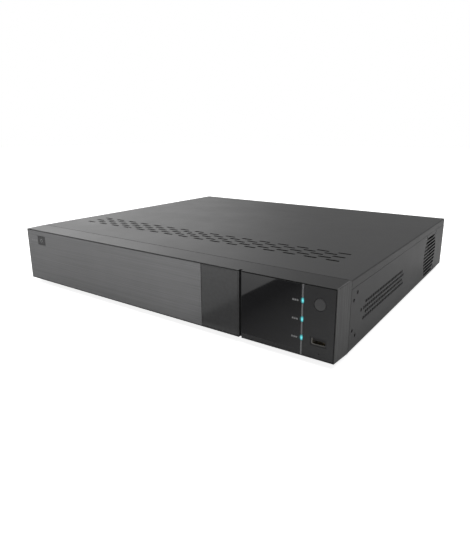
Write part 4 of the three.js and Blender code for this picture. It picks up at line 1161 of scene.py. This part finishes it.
def make_disks():
    for number in (1, 2):
        low, high = case_box(f"hard_disk_{number}")
        lid = high.z - 1.2
        disk = Maker(f"hard_disk_body_{number}")
        disk.block((low.x, high.x), (low.y, high.y - 3), (low.z, lid), CAST, edge=0.7)
        disk.block((low.x, low.x + 8), (high.y - 4, high.y), (low.z, lid), CAST, edge=0.5)
        disk.block((low.x + 60, high.x), (high.y - 4, high.y), (low.z, lid), CAST, edge=0.5)
        disk.block((low.x + 7, low.x + 61), (high.y - 4, high.y), (low.z + 7, lid), CAST, edge=0.5)
        disk.block((low.x + 9, low.x + 59), (high.y - 4.5, high.y - 1), (low.z + 1.6, low.z + 5.6), BLACK,
                   edge=0.3)
        disk.block((low.x + 12, low.x + 56), (high.y - 1.6, high.y - 0.6), (low.z + 3.0, low.z + 3.8), GOLD,
                   edge=0.1)
        cut = [(low.x + 3, low.y + 14), (low.x + 14, low.y + 4), (high.x - 14, low.y + 4),
               (high.x - 3, low.y + 14),
               (high.x - 3, high.y - 20), (high.x - 12, high.y - 12), (low.x + 12, high.y - 12),
               (low.x + 3, high.y - 20)]
        disk.prism("z", (lid - 0.3, high.z - 0.3), cut, MACHINED, edge=0.4, segments=2)
        middle_x, hub_y = (low.x + high.x) / 2, low.y + 50
        disk.lathe("z", (middle_x, hub_y), rise(high.z, [(0, -0.35), (30, -0.35), (30.6, -0.1),
                                                         (31.4, -0.05), (32, -0.35)]), MACHINED, 72)
        disk.lathe("z", (middle_x, hub_y), rise(high.z, [(8, -0.35), (8, 0), (6.5, 0), (6, -0.25),
                                                         (0, -0.25)]), MACHINED, 40)
        disk.block((low.x + 18, high.x - 18), (low.y + 88, high.y - 18), (high.z - 0.35, high.z - 0.2),
                   FOIL, edge=0.05)
        for row in range(4):
            y = low.y + 94 + 7 * row
            disk.block((low.x + 24, high.x - 24 - 9 * (row % 2)), (y, y + 2.2),
                       (high.z - 0.25, high.z - 0.16), CHIP,
                       edge=0.02)
        for x, y in ((10, 16), (92, 16), (6, 74), (96, 74), (14, 130), (88, 130)):
            disk.lathe("z", (low.x + x, low.y + y),
                       rise(high.z, [(0, -0.4), (2.4, -0.4), (2.4, -0.1), (2.1, 0), (1.1, 0), (1.0, -0.35),
                                     (0, -0.35)]), ZINC, 24)
        disk.done("chassis", [f"hard_disk_{number}"])


def make_lead(name, runs, radius, plugs, material):
    """Round leads along the CAD routes, each plug a block with ribbed sides."""
    lead = Maker(name)
    for run in runs:
        lead.tube(run, radius, material)
    for x, y, z in plugs:
        lead.block(x, y, z, BLACK, edge=0.4)
        middle = (y[0] + y[1]) / 2
        for k in (-1.4, 0, 1.4):
            lead.block((x[0] - 0.02, x[1] + 0.02), about(middle + k, 0.3),
                       (z[0] + 0.6, z[1] - 0.6), BLACK, edge=0.1)
    lead.done("chassis", [name])


DISK_BACK = case_box("hard_disk_1")[1].y
PLUG_Z = case_box("hard_disk_1")[0].z + 4
DISK_LEFT = [case_box(f"hard_disk_{k}")[0].x for k in (1, 2)]


def disk_plug(x, half):
    return about(x, half), (DISK_BACK - 2.5, DISK_BACK + 8), about(PLUG_Z, 2.3)


def make_leads():
    for k, board_x in enumerate((-62, -36)):
        disk_x = DISK_LEFT[k] + 50
        route = [(board_x, 236, 21), (board_x, 236, 27 + 5 * k), (board_x - 8, 226, 30 + 5 * k),
                 ((board_x + disk_x) / 2, 219, 24 + 5 * k), (disk_x, 215, PLUG_Z + 4),
                 (disk_x, DISK_BACK + 6, PLUG_Z)]
        plugs = [(about(board_x, 5.5), (232, 240), (17, 22)), disk_plug(disk_x, 5)]
        make_lead(f"disk_data_lead_{k + 1}", [route], 1.7, plugs, RED)
    first, second = (left + 20 for left in DISK_LEFT)
    down = [(-129, 276, 24), (-129, 262, 45), (-132, 240, 48), (-150, 226, 42), (first, 214, PLUG_Z + 5),
            (first, DISK_BACK + 6, PLUG_Z)]
    across = [(first, DISK_BACK + 6, PLUG_Z), (first + 12, 212, PLUG_Z - 3), (-90, 213, 7),
              (second - 12, 212, PLUG_Z - 3), (second, DISK_BACK + 6, PLUG_Z)]
    make_lead("disk_power_lead", [down, across], 1.9,
              [((-133, -125), (271, 281), (20.4, 27)), disk_plug(first, 9), disk_plug(second, 9)], SLEEVE)
    board_run = [(-129, 292, 25), (-129, 292, 42), (-122, 294, 48), (-106, 298, 40), (-96, 300, 30),
                 (-96, 300, 22)]
    make_lead("board_power_lead", [board_run], 2.2,
              [((-133, -125), (286, 297), (20.4, 27)), ((-100, -92), (290, 310), (18, 24))], ORANGE)
    fan_run = [(200, 296, 40), (196, 295, 34), (190, 293, 28), (188, 292, 22), (188, 292, 17)]
    make_lead("fan_lead", [fan_run], 1.3, [((185, 191), (289, 295), (15.2, 20))], RED)


def make_fan():
    low, high = case_box("fan_frame")
    half = (high.y - low.y) / 2
    centre = (FAN_Y, FAN_Z)
    square = rectangle(about(FAN_Y, half), about(FAN_Z, half), 3.5)
    bore = circle(half - 1.4, centre, 72)
    corners = [circle(2.1, corner, 20) for corner in FAN_CORNERS]
    shell = Maker("fan_shell")
    for start, stop in ((low.x, low.x + 3.5), (high.x - 3.5, high.x)):
        shell.plate("x", (start, stop), square, [bore, *corners], BLACK, edge=0.3)
    shell.plate("x", (low.x + 3.4, high.x - 3.4), circle(half - 0.2, centre, 72), [bore], BLACK)
    for a, b in ((-1, -1), (-1, 1), (1, -1), (1, 1)):
        shell.block((low.x + 3, high.x - 3), sorted((FAN_Y + a * (half - 8), FAN_Y + a * (half - 1))),
                    sorted((FAN_Z + b * (half - 8), FAN_Z + b * (half - 7))), BLACK, edge=0.2)
    for quarter in range(4):
        turn = math.radians(45 + 90 * quarter)
        reach = half - 2
        place = (FAN_Y + reach / 2 * math.cos(turn), FAN_Z + reach / 2 * math.sin(turn))
        shell.block((low.x, low.x + 2), (place[0] - reach / 2, place[0] + reach / 2),
                    (place[1] - 1.6, place[1] + 1.6),
                    BLACK, edge=0.4, turn=Matrix.Rotation(turn, 4, "X"))
    shell.lathe("x", centre, rise(low.x, [(0, 0), (11.4, 0), (12, 0.5), (12, 2), (1.5, 2), (1.5, 9),
                                          (0, 9)]), BLACK, 48)
    shell.lathe("x", centre, rise(low.x, [(0, -0.02), (9, -0.02), (9, 0.1)]), FOIL, 40)
    shell.done("chassis", ["fan_frame"])

    wheel = Maker("fan_wheel_blades")
    front, back = low.x + 13.6, low.x + 2.8
    wheel.lathe("x", centre, [(10, back), (11.5, back), (11.5, front - 1), (10.7, front - 0.2),
                              (9.5, front), (0, front),
                              (0, front - 3), (10, front - 3)], BLACK, 56)
    for blade in range(7):
        add_blade(wheel, low.x + 8.2, 2 * math.pi * blade / 7)
    wheel.done("fan_wheel", ["fan_rotor"])
    for number, (y, z) in enumerate(FAN_CORNERS, 1):
        screw = Maker(f"fan_pan_screw_{number}")
        pan_screw(screw, "x", (y, z), SIDE - 1.1, 1, 2.8, 0.95, ZINC, 8)
        screw.done("chassis", [f"fan_screw_{number}"])


def add_blade(maker, middle_x, turn, steps=8):
    """One cambered blade, swept back towards its tip."""
    part = bmesh.new()
    rows = []
    for i in range(steps + 1):
        radius = 11 + 16.2 * i / steps
        pitch = math.radians(52 - 12 * i / steps)
        row = []
        for j in range(steps + 1):
            t = j / steps - 0.5
            chord = 11 + 3 * i / steps
            camber = 1.3 * (0.25 - t * t)
            along = t * chord * math.cos(pitch) + camber
            angle = turn + (0.22 * (i / steps) ** 2) + along / radius
            row.append((middle_x + t * chord * math.sin(pitch) * 0.88, radius, angle))
        rows.append(row)
    sheets = []
    for lift in (-0.5, 0.5):
        sheets.append([[part.verts.new((FAN_Y + r * math.cos(a + lift / r),
                                        FAN_Z + r * math.sin(a + lift / r), x))
                        for x, r, a in row] for row in rows])
    under, over = sheets
    for i in range(steps):
        for j in range(steps):
            for sheet, order in ((under, 1), (over, -1)):
                quad = [sheet[i][j], sheet[i + 1][j], sheet[i + 1][j + 1], sheet[i][j + 1]]
                part.faces.new(quad[::order])
    rim = [(i, 0) for i in range(steps)] + [(steps, j) for j in range(steps)]
    rim += [(i, steps) for i in range(steps, 0, -1)] + [(0, j) for j in range(steps, 0, -1)]
    for (a, b), (c, d) in zip(rim, rim[1:] + rim[:1]):
        part.faces.new([under[a][b], under[c][d], over[c][d], over[a][b]])
    bmesh.ops.recalc_face_normals(part, faces=part.faces)
    maker.take(part, AXES["x"], BLACK)


make_main_board()
make_coin_cell()
make_supply_board()
make_disks()
make_leads()
make_fan()
carry("heat_sink", CAST, edge=0.15)
carry("front_board", BOARD, edge=0.08)
carry("front_ribbon", RIBBON, edge=0.1)
carry("supply_frame", GALVANISED, edge=0.2)
carry("drive_bracket", GALVANISED, edge=0.2)
carry("spare_drive_bracket", GALVANISED, edge=0.2)
for number in (1, 2, 3, 4):
    low, high = case_box(f"foot_{number}")
    middle = ((low.x + high.x) / 2, (low.y + high.y) / 2)
    foot = Maker(f"rubber_foot_{number}")
    foot.lathe("z", middle, [(0, high.z), (9, high.z), (8.9, low.z + 1.2), (8.4, low.z + 0.3), (7.6, low.z),
                             (4.4, low.z), (4.0, low.z + 0.4), (3.8, low.z + 2.2), (0, low.z + 2.2)],
                             RUBBER, 48)
    foot.lathe("z", middle, rise(low.z, [(3.2, 2.3), (3.1, 1.5), (2.2, 1.1), (0.9, 1.0), (0.8, 1.5),
                                         (0, 1.5)]), ZINC, 28)
    foot.done("chassis", [f"foot_{number}"])

# ---- Stage -------------------------------------------------------------------------------------------
def plane(name, corners):
    mesh = bpy.data.meshes.new(name)
    mesh.from_pydata(corners, [], [(0, 1, 2, 3)])
    made = bpy.data.objects.new(name, mesh)
    bpy.context.scene.collection.objects.link(made)
    return made


def make_floor():
    """A pale sweep: white to the eye with a soft contact shadow, greyer in what the case reflects."""
    reach = 6.0
    floor = plane("floor", [(-reach, -reach, 0), (reach, -reach, 0), (reach, reach, 0), (-reach, reach, 0)])
    shader = Shader.new("pale_floor")
    fine = shader.noise(40)
    shader.link(shader.mix(fine, (0.48, 0.48, 0.48), (0.52, 0.52, 0.52)), shader.bsdf.inputs["Base Color"])
    shader.set(Roughness=0.9)
    shader.bsdf.inputs["Specular IOR Level"].default_value = 0
    seen = shader.node("ShaderNodeBsdfPrincipled")
    for name, value in (("Base Color", (0.6, 0.6, 0.6)), ("Roughness", 1), ("Specular IOR Level", 0),
                        ("Emission Color", (1.0, 1.0, 1.0))):
        shader.feed(seen.inputs[name], value)
    away = shader.node("ShaderNodeVectorMath", operation="LENGTH")
    shader.link(shader.place, away.inputs[0])
    shader.link(shader.span(away.outputs["Value"], FLOOR_LIFT, 1.0, 0.45, 1.1),
                seen.inputs["Emission Strength"])
    choice = shader.node("ShaderNodeMixShader")
    shader.link(shader.node("ShaderNodeLightPath").outputs["Is Camera Ray"], choice.inputs["Fac"])
    shader.link(shader.bsdf.outputs[0], choice.inputs[1])
    shader.link(seen.outputs[0], choice.inputs[2])
    shader.link(choice.outputs[0], shader.tree.nodes["Material Output"].inputs["Surface"])
    floor.data.materials.append(shader.owner)


def make_flag(name, x, axis, start, stop):
    """A card on the floor that only reflections see; its level runs from start to stop along one axis.

    start and stop are each (coordinate, level)."""
    height = 0.0008
    card = plane(name, [(x[0], FLAG_FAR, height), (x[1], FLAG_FAR, height),
                        (x[1], FLAG_NEAR, height), (x[0], FLAG_NEAR, height)])
    shader = Shader.new(name)
    ramp = shader.span(shader.along(axis), start[1], stop[1], start[0], stop[0])
    fine = shader.noise(30)
    level = shader.math("MULTIPLY", ramp, shader.span(fine, 0.97, 1.03))
    shader.link(level, shader.bsdf.inputs["Emission Strength"])
    shader.set(Roughness=1, Base_Color=(0, 0, 0, 1), Emission_Color=(1, 1, 1, 1))
    shader.bsdf.inputs["Specular IOR Level"].default_value = 0
    card.data.materials.append(shader.owner)
    for ray in ("camera", "diffuse", "shadow", "transmission"):
        setattr(card, f"visible_{ray}", False)


def area_light(name, place, aim, size, power):
    data = bpy.data.lights.new(name, "AREA")
    data.shape = "RECTANGLE"
    data.size, data.size_y = size
    data.energy = power
    lamp = bpy.data.objects.new(name, data)
    bpy.context.scene.collection.objects.link(lamp)
    lamp.location = place
    lamp.rotation_mode = "QUATERNION"
    lamp.rotation_quaternion = (Vector(aim) - Vector(place)).to_track_quat("-Z", "Y")


def make_world():
    """A pale studio: bright towards the left, dim behind the object and to the right."""
    world = bpy.data.worlds.new("studio")
    world.use_nodes = True
    bpy.context.scene.world = world
    s = Shader(world)
    towards = s.node("ShaderNodeVectorMath", operation="DOT_PRODUCT")
    towards.inputs[1].default_value = Vector(BRIGHT_SIDE).normalized()
    s.link(s.place.node.outputs["Generated"], towards.inputs[0])
    level = s.span(towards.outputs["Value"], WORLD_DIM, WORLD_BRIGHT, WORLD_START, 1.0)
    level.node.interpolation_type = "SMOOTHSTEP"
    pick = s.node("ShaderNodeMix")
    s.link(s.node("ShaderNodeLightPath").outputs["Is Camera Ray"], pick.inputs["Factor"])
    s.link(level, pick.inputs[2])
    pick.inputs[3].default_value = 1.0
    background = s.tree.nodes["Background"]
    s.link(pick.outputs[0], background.inputs["Strength"])
    background.inputs["Color"].default_value = (1, 1, 1, 1)


FLOOR_LIFT = 0.87
BRIGHT_SIDE = (-0.95, 0.32, 0.1)
WORLD_DIM, WORLD_BRIGHT = 0.27, 1.34
WORLD_START = 0.68  # cosine of the turn from the bright side at which it begins to brighten
FLAG_EDGE_X = 0.048  # where the front panels' reflection turns from bright card to dark
FLAG_FAR, FLAG_NEAR = -1.3, FRONT_Y - 0.02

make_floor()
make_world()
make_flag("bright_flag", (-0.7, FLAG_EDGE_X), "Y", (-0.25, 0.52), (-0.65, 1.55))
make_flag("dark_flag", (FLAG_EDGE_X, 0.8), "X", (0.08, 0.12), (0.22, 0.6))
area_light("overhead", (0.0, -0.1, 1.7), (0, 0, 0), (2.4, 2.4), 42)
bpy.context.scene.view_settings.view_transform = "Standard"
